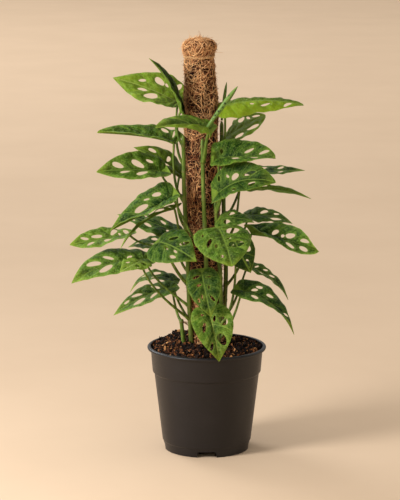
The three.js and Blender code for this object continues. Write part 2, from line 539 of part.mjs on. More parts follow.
// An oval window from WINDOWS as its [reach, out] corners.
function ovalWindow(leaf, [along, out, length, width, turn]) {
  const span = vector(leaf.base).distanceTo(vector(leaf.tip));
  const [cosine, sine] = [Math.cos(radians(turn)), Math.sin(radians(turn))];
  return corners(length > OVAL.longest ? OVAL.corners : OVAL.fewCorners).map(([cos, sin]) => {
    const [ahead, aside] = [(length / 2) * cos, (width / 2) * sin];
    return [(along + ahead * cosine - aside * sine) / span,
      (Math.abs(out) + ahead * sine + aside * cosine) / (leaf.width / 2)];
  });
}

// The windows on one side of a blade, each as its [reach, out] corners.
function windowsOn(leaf, side) {
  if (leaf.windows) {
    return leaf.windows.filter(([, out]) => out * side > 0).map((window) => ovalWindow(leaf, window));
  }
  const found = [];
  for (let i = 0; i < leaf.cells; i += 1) {
    const size = 0.75 + 0.5 * chance(7 * i + 13 * side + 50 * leaf.seed);
    const whole = i === leaf.cells - 1 && chance(leaf.seed + side) < 0.5;
    if (!whole) found.push(ruledWindow(leaf, i, size));
  }
  return found;
}

// How far the corners of a window lie beyond side vein number i, in blade lengths: the least and the most.
function beyondVein(leaf, i, window) {
  const root = [veinRoot(i, leaf.cells), 0];
  const [middle, end] = [veinPoint(leaf, i, VEIN.middle), veinPoint(leaf, i, 1)];
  const ways = window.map(([reach, out]) => {
    const [from, to] = out < middle[1] ? [root, middle] : [middle, end];
    return reach - lerp(from[0], to[0], (out - from[1]) / (to[1] - from[1]));
  });
  return [Math.min(...ways), Math.max(...ways)];
}

// A closed sheet from its middle surface: the same triangles on both faces, and walls along every edge.
function sheet(points, normals, depths, triangles) {
  const count = points.length;
  const position = [];
  const half = BLADE.thickness / 2;
  points.forEach((point, i) => position.push(...point.clone().addScaledVector(normals[i], half)));
  points.forEach((point, i) => position.push(...point.clone().addScaledVector(normals[i], -depths[i])));
  const index = [];
  const edges = new Set();
  triangles.forEach(([a, b, c]) => {
    index.push(a, b, c, c + count, b + count, a + count);
    [[a, b], [b, c], [c, a]].forEach(([from, to]) => edges.add(`${from} ${to}`));
  });
  edges.forEach((edge) => {
    const [from, to] = edge.split(' ').map(Number);
    if (edges.has(`${to} ${from}`)) return;
    index.push(to, from, from + count, to, from + count, to + count);
  });
  const geometry = new THREE.BufferGeometry();
  geometry.setAttribute('position', new THREE.Float32BufferAttribute(position, 3));
  geometry.setIndex(index);
  geometry.computeVertexNormals();
  return geometry;
}

function makeBlade(leaf) {
  const frame = bladeFrame(leaf);
  const [points, normals, depths, triangles] = [[], [], [], []];
  const known = new Map();
  const vertex = ([reach, out], side) => {
    const key = [reach.toFixed(4), (side * out).toFixed(4)].join();
    if (!known.has(key)) {
      known.set(key, points.length);
      points.push(bladePoint(leaf, frame, reach, out, side));
      normals.push(bladeNormal(leaf, frame, reach, out, side));
      depths.push(BLADE.thickness / 2 + (out === 0 ? BLADE.rib * (1 - 0.8 * reach) : 0));
    }
    return known.get(key);
  };
  [1, -1].forEach((side) => {
    const windows = windowsOn(leaf, side);
    const clear = (i) => windows.every((window) => {
      const [least, most] = beyondVein(leaf, i, window);
      return least > BLADE.clear || most < -BLADE.clear;
    });
    const creases = [0];
    for (let i = 1; i < leaf.cells; i += 1) if (clear(i)) creases.push(i);
    creases.forEach((first, k) => {
      const last = creases[k + 1] ?? leaf.cells;
      const inPanel = windows.filter((window) => (first === 0 || beyondVein(leaf, first, window)[0] > 0)
        && (last === leaf.cells || beyondVein(leaf, last, window)[1] < 0));
      const outline = panelOutline(leaf, first, last);
      const holes = inPanel.map((window) => window.map(inShape));
      const found = THREE.ShapeUtils.triangulateShape(outline.map(inShape), holes);
      const places = [...outline, ...inPanel.flat()].map((place) => vertex(place, side));
      found.forEach(([a, b, c]) => {
        const turn = side === 1 ? [a, c, b] : [a, b, c];
        triangles.push(turn.map((corner) => places[corner]));
      });
    });
  });
  return sheet(points, normals, depths, triangles);
}

// The vines, each joined with the stalks of its leaves

const vineCurves = Object.fromEntries(Object.entries(VINES).map(([name, points]) => {
  const foot = [points[0][0], points[0][1], points[0][2] - VINE.buried];
  return [name, new THREE.CatmullRomCurve3([foot, ...points].map(vector))];
}));

function vinePointAt(name, height) {
  const curve = vineCurves[name];
  let [low, high] = [0, 1];
  for (let i = 0; i < 30; i += 1) {
    const middle = (low + high) / 2;
    if (curve.getPoint(middle).z < height) low = middle;
    else high = middle;
  }
  return curve.getPoint(low);
}

// A stalk leaves its vine upwards and outwards, and ends just short of the blade's lower face, under its
// junction.
function stalkCurve(leaf) {
  const frame = bladeFrame(leaf);
  const foot = vinePointAt(leaf.vine, leaf.from);
  const normal = bladeNormal(leaf, frame, 0.001, 0, 1);
  const approach = frame.base.clone().sub(foot).normalize().addScaledVector(normal, 0.8).normalize();
  const slant = STALK.head * Math.sin(approach.angleTo(normal));
  const below = BLADE.thickness / 2 + BLADE.rib + STALK.clear + slant;
  const head = frame.base.clone().addScaledVector(normal, -below);
  const span = foot.distanceTo(head);
  const away = head.clone().sub(foot).setZ(0).normalize();
  const first = foot.clone().addScaledVector(UP, 0.18 * span).addScaledVector(away, 0.22 * span);
  const second = head.clone().addScaledVector(approach, -0.35 * span);
  return new THREE.CubicBezierCurve3(foot, first, second, head);
}

function makeRolled(leaf) {
  const middle = vector(leaf.base).lerp(vector(leaf.tip), 0.5).add(new THREE.Vector3(-1, 0, 1));
  const spine = new THREE.QuadraticBezierCurve3(vector(leaf.base), middle, vector(leaf.tip));
  const radiusAt = (share) => leaf.radius * Math.max(0.1, 0.45 + 0.9 * share - 1.3 * share ** 3.2);
  return taperedTube(spine, 6, radiusAt, 6);
}

function makeVine(name) {
  const thick = (share) => lerp(VINE.foot, VINE.head, share);
  const thin = (share) => lerp(STALK.foot, STALK.head, share);
  const stem = taperedTube(vineCurves[name], 6, thick, 6);
  const leaves = Object.values(LEAVES).filter((leaf) => leaf.vine === name);
  return join([stem, ...leaves.map((leaf) => taperedTube(stalkCurve(leaf), 4, thin, 5))]);
}

// The whole plant

const plant = new THREE.Group();

function add(name, geometry, colour) {
  const mesh = new THREE.Mesh(geometry, new THREE.MeshStandardMaterial(COLOURS[colour]));
  mesh.name = name;
  plant.add(mesh);
}

Object.entries(LEAVES).forEach(([name, leaf], i) => {
  leaf.seed = i + 1;
  leaf.windows = WINDOWS[name];
});

add('pot', makePot(), 'pot');
add('soil', makeSoil(), 'soil');
add('pole_core', makeCore(), 'core');
add('pole_sleeve', makeSleeve(), 'coir');
add('pole_tie', makeTie(), 'twine');
Object.keys(VINES).forEach((name) => add(`vine_${name}`, makeVine(name), 'stem'));
Object.entries(LEAVES).forEach(([name, leaf]) => {
  add(`leaf_${name}`, makeBlade(leaf), leaf.young ? 'young' : 'leaf');
});
Object.entries(ROLLED).forEach(([name, leaf]) => add(`leaf_rolled_${name}`, makeRolled(leaf), 'young'));

export default plant;
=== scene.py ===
"""Monstera adansonii climbing a coir pole in a black nursery pot: its looks, built round the CAD part.

Lengths are millimetres until a mesh is made, where MM turns them to metres. The origin is the centre of the
pot's underside, +Z is up and -Y is the front.
"""

import math

import bpy
import numpy as np
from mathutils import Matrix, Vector
from mathutils.geometry import delaunay_2d_cdt


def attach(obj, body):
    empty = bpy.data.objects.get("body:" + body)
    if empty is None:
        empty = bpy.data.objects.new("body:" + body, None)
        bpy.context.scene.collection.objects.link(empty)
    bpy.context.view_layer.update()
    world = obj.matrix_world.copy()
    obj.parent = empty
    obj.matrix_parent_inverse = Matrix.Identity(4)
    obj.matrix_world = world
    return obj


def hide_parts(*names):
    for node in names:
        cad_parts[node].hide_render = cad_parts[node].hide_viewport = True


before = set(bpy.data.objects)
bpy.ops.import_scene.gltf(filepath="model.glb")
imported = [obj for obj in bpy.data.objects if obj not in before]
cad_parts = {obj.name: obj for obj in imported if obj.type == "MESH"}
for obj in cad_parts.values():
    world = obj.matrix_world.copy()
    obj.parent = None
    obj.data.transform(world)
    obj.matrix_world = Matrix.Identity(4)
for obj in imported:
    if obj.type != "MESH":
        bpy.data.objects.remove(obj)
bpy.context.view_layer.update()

MM = 0.001
TAU = 2 * math.pi
UP = np.array([0.0, 0.0, 1.0])

# The camera, the two lamps and the sky, in metres and watts.

CAMERA = {"at": (-0.0096, -3.2, 0.8975), "aim": (-0.0096, 0, 0.2882), "lens": 165.4, "sensor": 36}
CAMERA_CLIP = (0.05, 200)
KEY = {"at": (-1.35, -0.85, 0.9), "aim": (0, 0, 0.2), "size": 0.6, "power": 31, "colour": (0.95, 0.97, 1)}
WASH = {"at": (-4, 5, 4.5), "aim": (0, 5, 0), "size": 4, "power": 250, "colour": (0.93, 0.96, 1)}
SKY = {"colour": (1, 0.96, 0.9), "strength": 0.57}

# Driving dimensions. What the CAD part has too is as it is there.

POT = {"foot": 60.5, "below": 75, "above": 77.4, "lip": 80, "rim": 85, "height": 150, "wall": 1.6}
FLOOR = {"height": 11.5, "radius": 60.6, "pad_radius": 12, "pad_height": 2}
STEP = {"height": 111.5, "rise": 2}
NOTCH = {"width": 27, "height": 8.5, "depth": 12, "count": 4}
DRAIN = {"radius": 5, "ring": 40, "count": 6}
SOIL = {"edge": 145, "radius": 78, "crown": 9, "bump": 1.6}
HEAP = {"at": (-38, 50), "height": 6, "spread": 24}
POLE = {"foot": (0, 0, 150), "head": (-10.8, 0, 590), "radius": 23.2, "mat_depth": 2.8}
CAP = {"depth": 9, "inset": 19, "sunk": 2.6}
WAIST = {"depth": 2.6, "height": 7, "slim": 1.9}
TIE = {"below": 27, "radius": 1.3, "turns": 2, "ply": 0.6, "ply_off": 0.62, "twists": 19}
VINE = {"foot": 3.4, "head": 2.7, "buried": 24, "sides": 16}
JOINT = {"lowest": 175, "spacing": 38, "apart": 18, "height": 2.2, "swelling": 0.55, "roots": 3}
STALK = {"foot": 2.1, "head": 1.4, "sheath": 0.9, "swelling": 0.3, "sides": 12}
BLADE = {"thickness": 0.8, "rib": 0.9, "half_shape": 0.28, "spacing": 1.5}

# The end of a leaf stalk under its blade: how far along the midrib, and how thick there.
STALK_TAIL = [(0.02, 1.25), (0.05, 1.0), (0.1, 0.7), (0.17, 0.3)]

# The waves of a blade's margin: how high, how many from stalk to tip, and how much they shift from leaf to
# leaf and from one half to the other.
WAVE = {"height": 1.2, "count": 2.3, "leaf": 1, "side": 0.31}
FRILL = {"height": 0.7, "count": 5.7, "leaf": 0.37, "side": -0.2}

# A blade's skin: how far it swells up between its side veins where a half is that wide, and how much and how
# closely it puckers. Then the midrib: the groove's depth and width above it, and the width of the rib below.
SKIN = {"swell": 1.7, "half_width": 28, "pucker": 0.4, "pucker_size": 5.5}
MIDRIB = {"groove": 0.45, "groove_width": 0.9, "rib_width": 1.2}

# Side veins: where the first leaves the midrib and meets the margin, how far along the midrib the rest are
# spread, how much they bend forwards, how wide the lobe behind the first one is in radians, and where the
# tip's cell ends.
VEIN = {"root": 0.06, "spread": 0.84, "end": 0.36, "bend": 1.4, "lobe": 0.8, "beyond": 1.03}

# A window between two side veins, in shares of the panel: how far out its middle is (in the panel at the
# stalk, in the next ones and in the one at the tip), how far across, and its half size.
RULED = {
    "out": {"first": 0.56, "next": 0.52, "last": 0.42},
    "across": {"first": 0.62, "next": 0.5},
    "half": 0.27,
    "last_size": 0.7,
}
WINDOW_POINTS = 24

# The gap left between the mix and the pot.
GAP = 0.35

# The climbing stems, from the mix up, each a list of points beside the pole.
VINES = {
    "left_low": [(-33, -8, 150), (-36, -8, 190)],
    "left": [(-22, -15, 150), (-25, -16, 215), (-28, -14, 290), (-32, -15, 390), (-33, -17, 455)],
    "left_back": [(-23, 20, 150), (-25, 19, 250), (-26, 20, 350), (-28, 20, 440), (-31, 18, 465)],
    "front": [(2, -31, 150), (1, -31, 220), (-2, -30, 300), (-5, -30, 380), (-6, -31, 452)],
    "right_front": [(16, -25, 150), (20, -22, 220), (16, -24, 290), (12, -27, 362)],
    "right_back": [(24, 15, 150), (27, 12, 250), (24, 11, 350), (21, 12, 440), (21, 17, 470)],
    "back": [(3, 31, 150), (0, 31, 250), (-4, 31, 350), (-8, 31, 450)],
}


def blade(vine, start, base, tip, width, face, arch, fold, droop, cells=4, **form):
    """A leaf: its vine, the height its stalk starts at, and its blade's base, tip, width, face and form."""
    held = {"vine": vine, "start": start, "base": base, "tip": tip, "width": width, "face": face}
    return {**held, "arch": arch, "fold": fold, "droop": droop, "cells": cells, **form}


# The leaves. face is the way a blade's upper side looks. arch and sweep bend the midrib up and sideways, most
# at the share of its length that bend gives, and twist turns the blade about it by the tip. fold lifts the
# halves to a V and droop turns the margins down. full is the power that the outline is drawn to, below 1 for
# a fuller blade and above 1 for a slimmer one, and cells is the number of panels between side veins on each
# half. tint is painted light and shade: above 0 it paints a blade lighter and yellower, as if lit more, and
# below 0 darker, as if in shade; where it is two numbers, they are for the left and right halves. stout
# thickens its stalk.
LEAVES = {
    "left_1": blade("left_back", 400, (-41, 24, 495), (-134, 57, 527), 87, (1, -2, 10), 4, -1, -19,
        twist=-36, bend=0.38, full=1.08, young=True, tint=0.5),
    "left_2": blade("left", 440, (-36, -14, 487), (-80, -40, 565), 44, (86, -12, 50), 6, 20, 0, tint=-0.5),
    "left_3": blade("left", 360, (-46, -8, 442), (-154, -9, 457), 57, (0, -2, 10), 3, 29, -10,
        twist=2, bend=0.29, sweep=3, full=0.53, tint=0.1),
    "left_4": blade("left", 366, (-64, -20, 403), (-154, -39, 406), 58, (0, -4, 9), 5, 28, -11,
        twist=-38, sweep=-2, full=0.82, tint=0.1),
    "left_5": blade("left_back", 310, (-38, 22, 392), (-104, 36, 430), 54, (3, -1, 9), 6, 15, 2,
        twist=-32, sweep=1, full=1.19, tint=0.4),
    "left_6": blade("front", 290, (-48, -36, 370), (-135, -48, 325), 59, (-3, -6, 8), 0, 48, -9,
        twist=20, sweep=-2, full=0.88, tint=-0.1),
    "left_7": blade("left", 290, (-46, -4, 349), (-121, -50, 299), 36, (-64, 15, 76), 10, 20, 0, tint=0),
    "left_8": blade("left", 285, (-108, -8, 311), (-194, -7, 297), 50, (0, 0, 10), 1, 19, 0,
        twist=-54, bend=0.55, sweep=-2, full=0.84, tint=0.2),
    "left_9": blade("left_back", 250, (-44, 22, 309), (-128, 42, 332), 62, (0, -2, 10), 4, 5, 15, tint=-0.3),
    "left_10": blade("left", 240, (-67, -44, 308), (-14, -95, 290), 64, (1, -10, 6), 8, 5, 20, tint=-0.35),
    "left_11": blade("left", 210, (-87, -22, 278), (-190, -40, 248), 66, (-1, -2, 10), 11, 23, 14,
        twist=-29, bend=0.48, sweep=-1, full=0.85, cells=5, tint=0.1),
    "left_12": blade("left", 190, (-92, -62, 284), (-120, -100, 276), 41, (-3, -7, 6), 4, 6, 14,
        twist=4, sweep=-3, young=True, tint=0.35),
    "left_13": blade("left_back", 230, (-62, 34, 292), (-113, 50, 283), 40, (0, -3, 10), 3, 10, 8,
        cells=3, tint=-0.6),
    "left_14": blade("left_back", 180, (-48, 44, 235), (-111, 57, 215), 45, (1, -1, 10), 15, 12, 3,
        twist=-9, sweep=-1, full=1.05, cells=3, tint=0),
    "left_15": blade("left_low", 186, (-50, 4, 233), (-133, 2, 193), 43, (0, -3, 10), 8, 11, 3,
        twist=-20, bend=0.52, sweep=-3, full=1.09, cells=3, tint=0),
    "front_1": blade("front", 420, (4, -51, 466), (-70, -106, 477), 59, (1, -4, 9), 4, 21, 20,
        twist=11, bend=0.21, sweep=7, full=0.66, young=True, tint=(0.6, 0.1), stout=1.4),
    "front_2": blade("front", 290, (16, -78, 333), (34, -136, 291), 79, (1, -8, 6), 8, 2, 20,
        twist=9, bend=0.56, full=0.67, tint=0.1),
    "front_3": blade("front", 200, (-7, -54, 266), (6, -82, 208), 48, (0, -9, 4), 6, 10, 10,
        bend=0.52, sweep=1, full=1.09, tint=-0.4),
    "front_4": blade("front", 168, (3, -62, 212), (17, -90, 147), 60, (1, -9, 4), 7, 21, -3,
        twist=-12, bend=0.52, full=1.04, young=True, tint=0),
    "right_1": blade("right_front", 165, (49, -30, 236), (123, -49, 176), 53, (0, -4, 9), 16, 26, 5,
        twist=-40, sweep=-1, full=1.09, tint=-0.3),
    "right_2": blade("right_back", 190, (58, 20, 261), (117, 22, 211), 32, (2, -1, 3), 9, 18, 0,
        cells=3, tint=-0.1),
    "right_3": blade("right_front", 185, (40, -34, 306), (62, -35, 262), 46, (-2, -10, 2), 5, 4, 13,
        twist=6, bend=0.47, full=1.07, cells=3, tint=-0.85),
    "right_4": blade("right_back", 235, (63, -12, 314), (155, -75, 300), 48, (2, 0, 10), 1, 47, -16,
        twist=92, bend=0.52, sweep=-14, full=0.43, cells=5, tint=-0.1),
    "right_5": blade("right_back", 270, (59, 26, 333), (123, 40, 319), 42, (0, -3, 10), 7, 6, 4,
        twist=12, bend=0.47, sweep=2, full=0.97, cells=3, tint=0),
    "right_6": blade("right_front", 280, (19, -38, 340), (66, -51, 337), 45, (0, -5, 9), 5, 1, 9,
        twist=-19, bend=0.46, sweep=1, full=0.93, cells=3, tint=-0.1),
    "right_7": blade("right_front", 345, (17, -48, 378), (95, -74, 397), 61, (0, -6, 8), 12, 21, -16,
        twist=15, bend=0.48, sweep=-3, full=0.7, cells=5, tint=-0.45),
    "right_8": blade("right_back", 300, (46, 8, 374), (147, -7, 363), 36, (0, -1, 10), 6, 14, -1,
        twist=4, cells=3, tint=0.4),
    "right_9": blade("right_front", 350, (15, -34, 424), (95, -53, 427), 57, (0, -6, 8), 2, 32, -8,
        twist=-15, sweep=-2, full=0.49, tint=0),
    "right_10": blade("right_back", 380, (27, 39, 443), (83, 33, 477), 54, (0, -3, 10), 4, 0, 0,
        twist=24, sweep=6, full=0.57, tint=0.5),
    "right_11": blade("right_back", 410, (24, -13, 496), (135, -19, 497), 52, (0, -4, 9), 7, 8, 60,
        twist=-15, sweep=-2, full=0.52, cells=5, tint=(0.35, 0.9)),
    "right_12": blade("right_back", 330, (53, 30, 395), (140, 41, 396), 44, (0, -1, 10), 1, 8, 4,
        twist=9, full=0.96, tint=0),
    "back_1": blade("back", 400, (-8, 42, 470), (-8, 124, 480), 44, (0, 1, 5), 10, 10, 12, cells=3),
    "back_2": blade("back", 330, (10, 44, 400), (62, 112, 385), 50, (0, 1, 5), 12, 10, 12, cells=3),
    "back_3": blade("back", 240, (-14, 44, 296), (-56, 116, 262), 50, (0, 1, 5), 12, 10, 12, cells=3),
    "back_4": blade("back", 200, (18, 44, 280), (52, 110, 246), 50, (0, 1, 5), 14, 10, 12, cells=3),
    "back_5": blade("back", 165, (-10, 48, 236), (-18, 124, 200), 50, (0, 1, 5), 14, 10, 12, cells=3),
}

# The windows of the blades whose windows show: for each, how far along the midrib and how far out from it its
# middle is (right above 0, left below), its length, its width, and how many degrees it turns outwards. A
# blade with an empty list has no windows, and a blade without a list has them by rule, one between two side
# veins.
WINDOWS = {
    "left_2": [],
    "front_1": [],
    "left_1": [(47, 22, 17, 11, 30), (20, 31, 18, 9, 100), (68, 11, 11, 5, 135), (35, 22, 8, 4, 40),
        (42, -15, 22, 14, 40), (60, -6, 14, 6, 15)],
    "left_3": [(25, 20, 14, 8, 15), (8, 17, 15, 4, 85), (45, -14, 14, 6, 40), (70, -11, 12, 5, 35)],
    "left_4": [(34, 9, 19, 9, 30), (62, 7, 17, 7, 20), (16, 15, 11, 5, 20), (30, -12, 20, 9, 30),
        (53, -6, 14, 6, 15)],
    "left_5": [(52, 6, 11, 7, 0), (27, 9, 12, 6, 80), (24, -10, 16, 7, 45), (46, -8, 12, 5, 40)],
    "left_6": [(46, 8, 20, 9, 0), (17, 15, 14, 6, 20), (33, 16, 8, 3, 15), (24, -13, 16, 7, 45),
        (50, -11, 16, 6, 35)],
    "left_8": [(45, 6, 15, 6, 5), (21, 13, 16, 8, 115), (5, 11, 16, 6, 75), (63, 5, 12, 4, 15),
        (14, 6, 7, 3, 75), (30, -11, 12, 9, 115), (54, -8, 12, 6, 30)],
    "left_9": [(24, 13, 14, 6, 45), (48, 12, 13, 5, 35), (40, -12, 12, 8, -20), (64, -9, 12, 4, 140),
        (10, -7, 8, 6, 90)],
    "left_10": [(44, 14, 10, 5, -25), (24, 6, 12, 4, 15), (42, 5, 8, 3, 10), (22, -12, 14, 6, 45),
        (44, -12, 14, 6, 40)],
    "left_11": [(71, 9, 19, 8, 20), (50, 11, 17, 5, 35), (21, 6, 8, 5, -25), (58, -12, 20, 14, 20),
        (26, -12, 16, 7, 45)],
    "left_14": [(23, 8, 14, 8, -20), (41, 7, 10, 4, 30), (22, -9, 13, 6, 45), (40, -7, 10, 4, 30)],
    "left_15": [(49, 8, 18, 5, 15), (20, 10, 14, 6, 45), (66, 5, 9, 4, 0), (48, -7, 20, 8, 15),
        (26, -8, 14, 7, 40)],
    "right_1": [(23, 13, 13, 8, 50), (46, 10, 14, 6, 35), (18, -15, 9, 6, 20), (36, -11, 11, 6, 20),
        (15, -7, 8, 5, 40), (70, -6, 9, 4, 30)],
    "right_2": [(20, 7, 10, 4, 45), (38, 6, 10, 4, 35), (37, -5, 10, 4, 25), (25, -8, 8, 4, 35),
        (12, -6, 8, 3, 55)],
    "right_4": [(86, 7, 20, 7, 10), (64, 13, 18, 6, 10), (54, -8, 17, 7, 20), (83, -8, 20, 6, 10),
        (30, -8, 11, 6, 40), (42, -5, 6, 4, 30)],
    "right_5": [(39, 7, 18, 6, -20), (24, -8, 16, 6, 35), (42, -7, 10, 4, 25)],
    "right_7": [(55, 11, 13, 8, 115), (31, 19, 8, 5, 50), (30, -9, 12, 8, 25), (50, -9, 17, 5, 10),
        (7, -19, 8, 4, 80), (20, -14, 6, 3, 115)],
    "right_9": [(28, 11, 16, 7, 45), (54, 9, 14, 6, 35), (44, -9, 14, 4, 30), (65, -8, 14, 5, 30),
        (6, -10, 8, 4, 85)],
    "right_10": [(43, 12, 18, 6, 0), (23, 16, 13, 8, 0), (31, -17, 14, 10, -35), (54, -6, 12, 4, -25),
        (43, -11, 9, 4, 110)],
    "right_11": [(89, 9, 14, 6, 130), (58, 12, 13, 4, -20), (39, 9, 6, 3, 25), (35, -12, 16, 6, 40),
        (65, -12, 16, 6, 40)],
    "right_12": [(51, 8, 12, 5, 135), (28, 11, 14, 6, 45), (30, -11, 14, 6, 45), (54, -8, 12, 5, 40)],
    "front_2": [(27, 21, 16, 7, 30), (36, 13, 8, 4, 15), (56, 9, 6, 4, 135), (8, 25, 5, 3, 10),
        (39, -14, 21, 13, 85), (10, -17, 22, 14, 120), (27, -6, 8, 3, 95)],
    "front_3": [(36, 5, 10, 4, -10), (6, 9, 11, 4, 70), (18, 7, 8, 4, 65), (39, 11, 6, 3, 0),
        (8, -8, 7, 3, 90), (23, -6, 6, 3, 0), (40, -8, 10, 4, 30)],
    "front_4": [(23, 13, 16, 6, 30), (5, 12, 6, 3, 75), (50, 8, 12, 5, 25), (42, -9, 19, 11, 25),
        (18, -16, 15, 10, 30), (12, -5, 9, 4, -25)],
}

# New leaves that are still rolled up, each a slim scroll: one on the front leaf's junction, one on a stem.
ROLLED = {
    "front": {"base": (1, -54, 471), "tip": (42, -59, 528), "radius": 3.4},
    "right": {"base": (21, 17, 471), "tip": (28, 19, 525), "radius": 2.2},
}

# Half a blade's outline, from the stalk round the lobe to the tip: along the midrib in blade lengths, and out
# from it in half widths.
OUTLINE = [(0.01, 0.03), (-0.06, 0.2), (-0.09, 0.48), (-0.05, 0.74), (0.07, 0.94), (0.23, 1), (0.42, 0.93),
           (0.61, 0.73), (0.78, 0.44), (0.91, 0.16), (1, 0)]


# Small tools


def unit(vectors):
    return vectors / np.linalg.norm(vectors, axis=-1, keepdims=True)


def chance(number):
    """The same value between 0 and 1 for the same whole number, as in the CAD part."""
    wave = math.sin(number * 12.9898) * 43758.5453
    return wave - math.floor(wave)


def smoothstep(low, high, values):
    share = np.clip((values - low) / (high - low), 0, 1)
    return share * share * (3 - 2 * share)


def bell(values, width):
    """1 at zero, falling off smoothly both ways, and next to nothing at twice the width."""
    return np.exp(-((values / width) ** 2))


def at_height(line, height):
    """The point of a line that is nearest to that height."""
    return line[np.argmin(np.abs(line[:, 2] - height))]


def wobble(points, size, seed):
    """A smooth random value near -1 to 1 for each point, with bumps of about that size in millimetres."""
    draw = np.random.default_rng(seed)
    waves = 7
    directions = unit(draw.normal(size=(waves, 3))) * draw.uniform(0.7, 1.5, (waves, 1)) * TAU / (2.2 * size)
    phases = draw.uniform(0, TAU, waves)
    return np.sin(points @ directions.T + phases).sum(-1) / math.sqrt(waves)


def spline(points, count):
    """Points spaced evenly along a smooth curve through the given ones (centripetal Catmull-Rom)."""
    points = np.array(points, float)
    ends = [2 * points[0] - points[1]], [2 * points[-1] - points[-2]]
    held = np.concatenate([ends[0], points, ends[1]])
    steps = np.sqrt(np.linalg.norm(np.diff(held, axis=0), axis=1))
    knots = np.concatenate([[0], np.cumsum(steps)])
    curve = []
    for i in range(len(points) - 1):
        t0, t1, t2, t3 = knots[i : i + 4]
        p0, p1, p2, p3 = held[i : i + 4]
        t = np.linspace(t1, t2, 40)[:, None]
        a1 = (t1 - t) / (t1 - t0) * p0 + (t - t0) / (t1 - t0) * p1
        a2 = (t2 - t) / (t2 - t1) * p1 + (t - t1) / (t2 - t1) * p2
        a3 = (t3 - t) / (t3 - t2) * p2 + (t - t2) / (t3 - t2) * p3
        b1 = (t2 - t) / (t2 - t0) * a1 + (t - t0) / (t2 - t0) * a2
        b2 = (t3 - t) / (t3 - t1) * a2 + (t - t1) / (t3 - t1) * a3
        curve.append((t2 - t) / (t2 - t1) * b1 + (t - t1) / (t2 - t1) * b2)
    return spaced(np.concatenate(curve), count)


def spaced(curve, count):
    """That many points, evenly spaced along a line of points."""
    steps = np.linalg.norm(np.diff(curve, axis=0), axis=1)
    length = np.concatenate([[0], np.cumsum(steps)])
    wanted = np.linspace(0, length[-1], count)
    return np.stack([np.interp(wanted, length, curve[:, k]) for k in range(curve.shape[1])], axis=1)


def rounded(profile, radius):
    """A closed profile with each corner turned into a short curve."""
    steps = 4
    points = np.array(profile, float)
    made = []
    for before, corner, after in zip(np.roll(points, 1, 0), points, np.roll(points, -1, 0)):
        reach = [min(radius, 0.45 * np.linalg.norm(end - corner)) for end in (before, after)]
        start = corner + unit(before - corner) * reach[0]
        stop = corner + unit(after - corner) * reach[1]
        for t in np.linspace(0, 1, steps):
            made.append((1 - t) ** 2 * start + 2 * t * (1 - t) * corner + t * t * stop)
    return np.array(made)


# Meshes. A shape is (points, polygons): points in millimetres, and a list of index arrays, each for one
# number of corners.


def ring_walls(row, sides):
    """The faces between each ring of points and the next, where row holds the rings' first points."""
    here, after = np.arange(sides), (np.arange(sides) + 1) % sides
    corners = [row + here, row + after, row + after + sides, row + here + sides]
    return np.stack(corners, axis=-1).reshape(-1, 4)


def tubes(lines, radii, sides):
    """Closed tubes along lines of shape (tubes, steps, 3), with radii of shape (tubes, steps)."""
    lines, radii = np.asarray(lines, float), np.asarray(radii, float)
    count, steps = lines.shape[:2]
    tangents = unit(np.gradient(lines, axis=1) + 1e-9)
    first = np.where(np.abs(tangents[:, 0, 2:3]) < 0.8, UP, np.array([1.0, 0, 0]))
    across = unit(np.cross(tangents[:, 0], first))
    rings = []
    for k in range(steps):
        tangent = tangents[:, k]
        across = unit(across - (across * tangent).sum(-1, keepdims=True) * tangent)
        other = np.cross(tangent, across)
        for angle in np.arange(sides) * TAU / sides:
            spoke = across * math.cos(angle) + other * math.sin(angle)
            rings.append(lines[:, k] + spoke * radii[:, k : k + 1])
    points = np.stack(rings, axis=1).reshape(-1, 3)
    start = np.arange(count)[:, None, None] * steps * sides
    walls = ring_walls(start + np.arange(steps - 1)[:, None] * sides, sides)
    here = np.arange(sides)
    foot = np.arange(count)[:, None] * steps * sides + here[::-1]
    head = np.arange(count)[:, None] * steps * sides + (steps - 1) * sides + here
    return points, [walls, foot, head]


def lathe(profile, sides):
    """A closed body of revolution about Z. A profile point on the axis becomes one point."""
    profile = np.asarray(profile, float)
    angles = np.arange(sides) * TAU / sides
    on_axis = profile[:, 0] < 1e-6
    first, points = [], []
    for (radius, height), axis in zip(profile, on_axis):
        first.append(len(points))
        ring = [0.0] if axis else angles
        points += [(radius * math.sin(a), -radius * math.cos(a), height) for a in ring]
    here, after = np.arange(sides), (np.arange(sides) + 1) % sides
    quads, triangles = [], []
    for i in range(len(profile) - 1):
        low, high = first[i], first[i + 1]
        if on_axis[i] and on_axis[i + 1]:
            continue
        if on_axis[i]:
            triangles.append(np.stack([np.full(sides, low), high + after, high + here], -1))
        elif on_axis[i + 1]:
            triangles.append(np.stack([low + here, low + after, np.full(sides, high)], -1))
        else:
            quads.append(np.stack([low + here, low + after, high + after, high + here], -1))
    polygons = [np.concatenate(group) for group in (quads, triangles) if group]
    return np.array(points), polygons


def joined(shapes):
    """Several shapes as one."""
    points, polygons, start = [], [], 0
    for some, faces in shapes:
        points.append(some)
        polygons += [group + start for group in faces]
        start += len(some)
    return np.concatenate(points), polygons


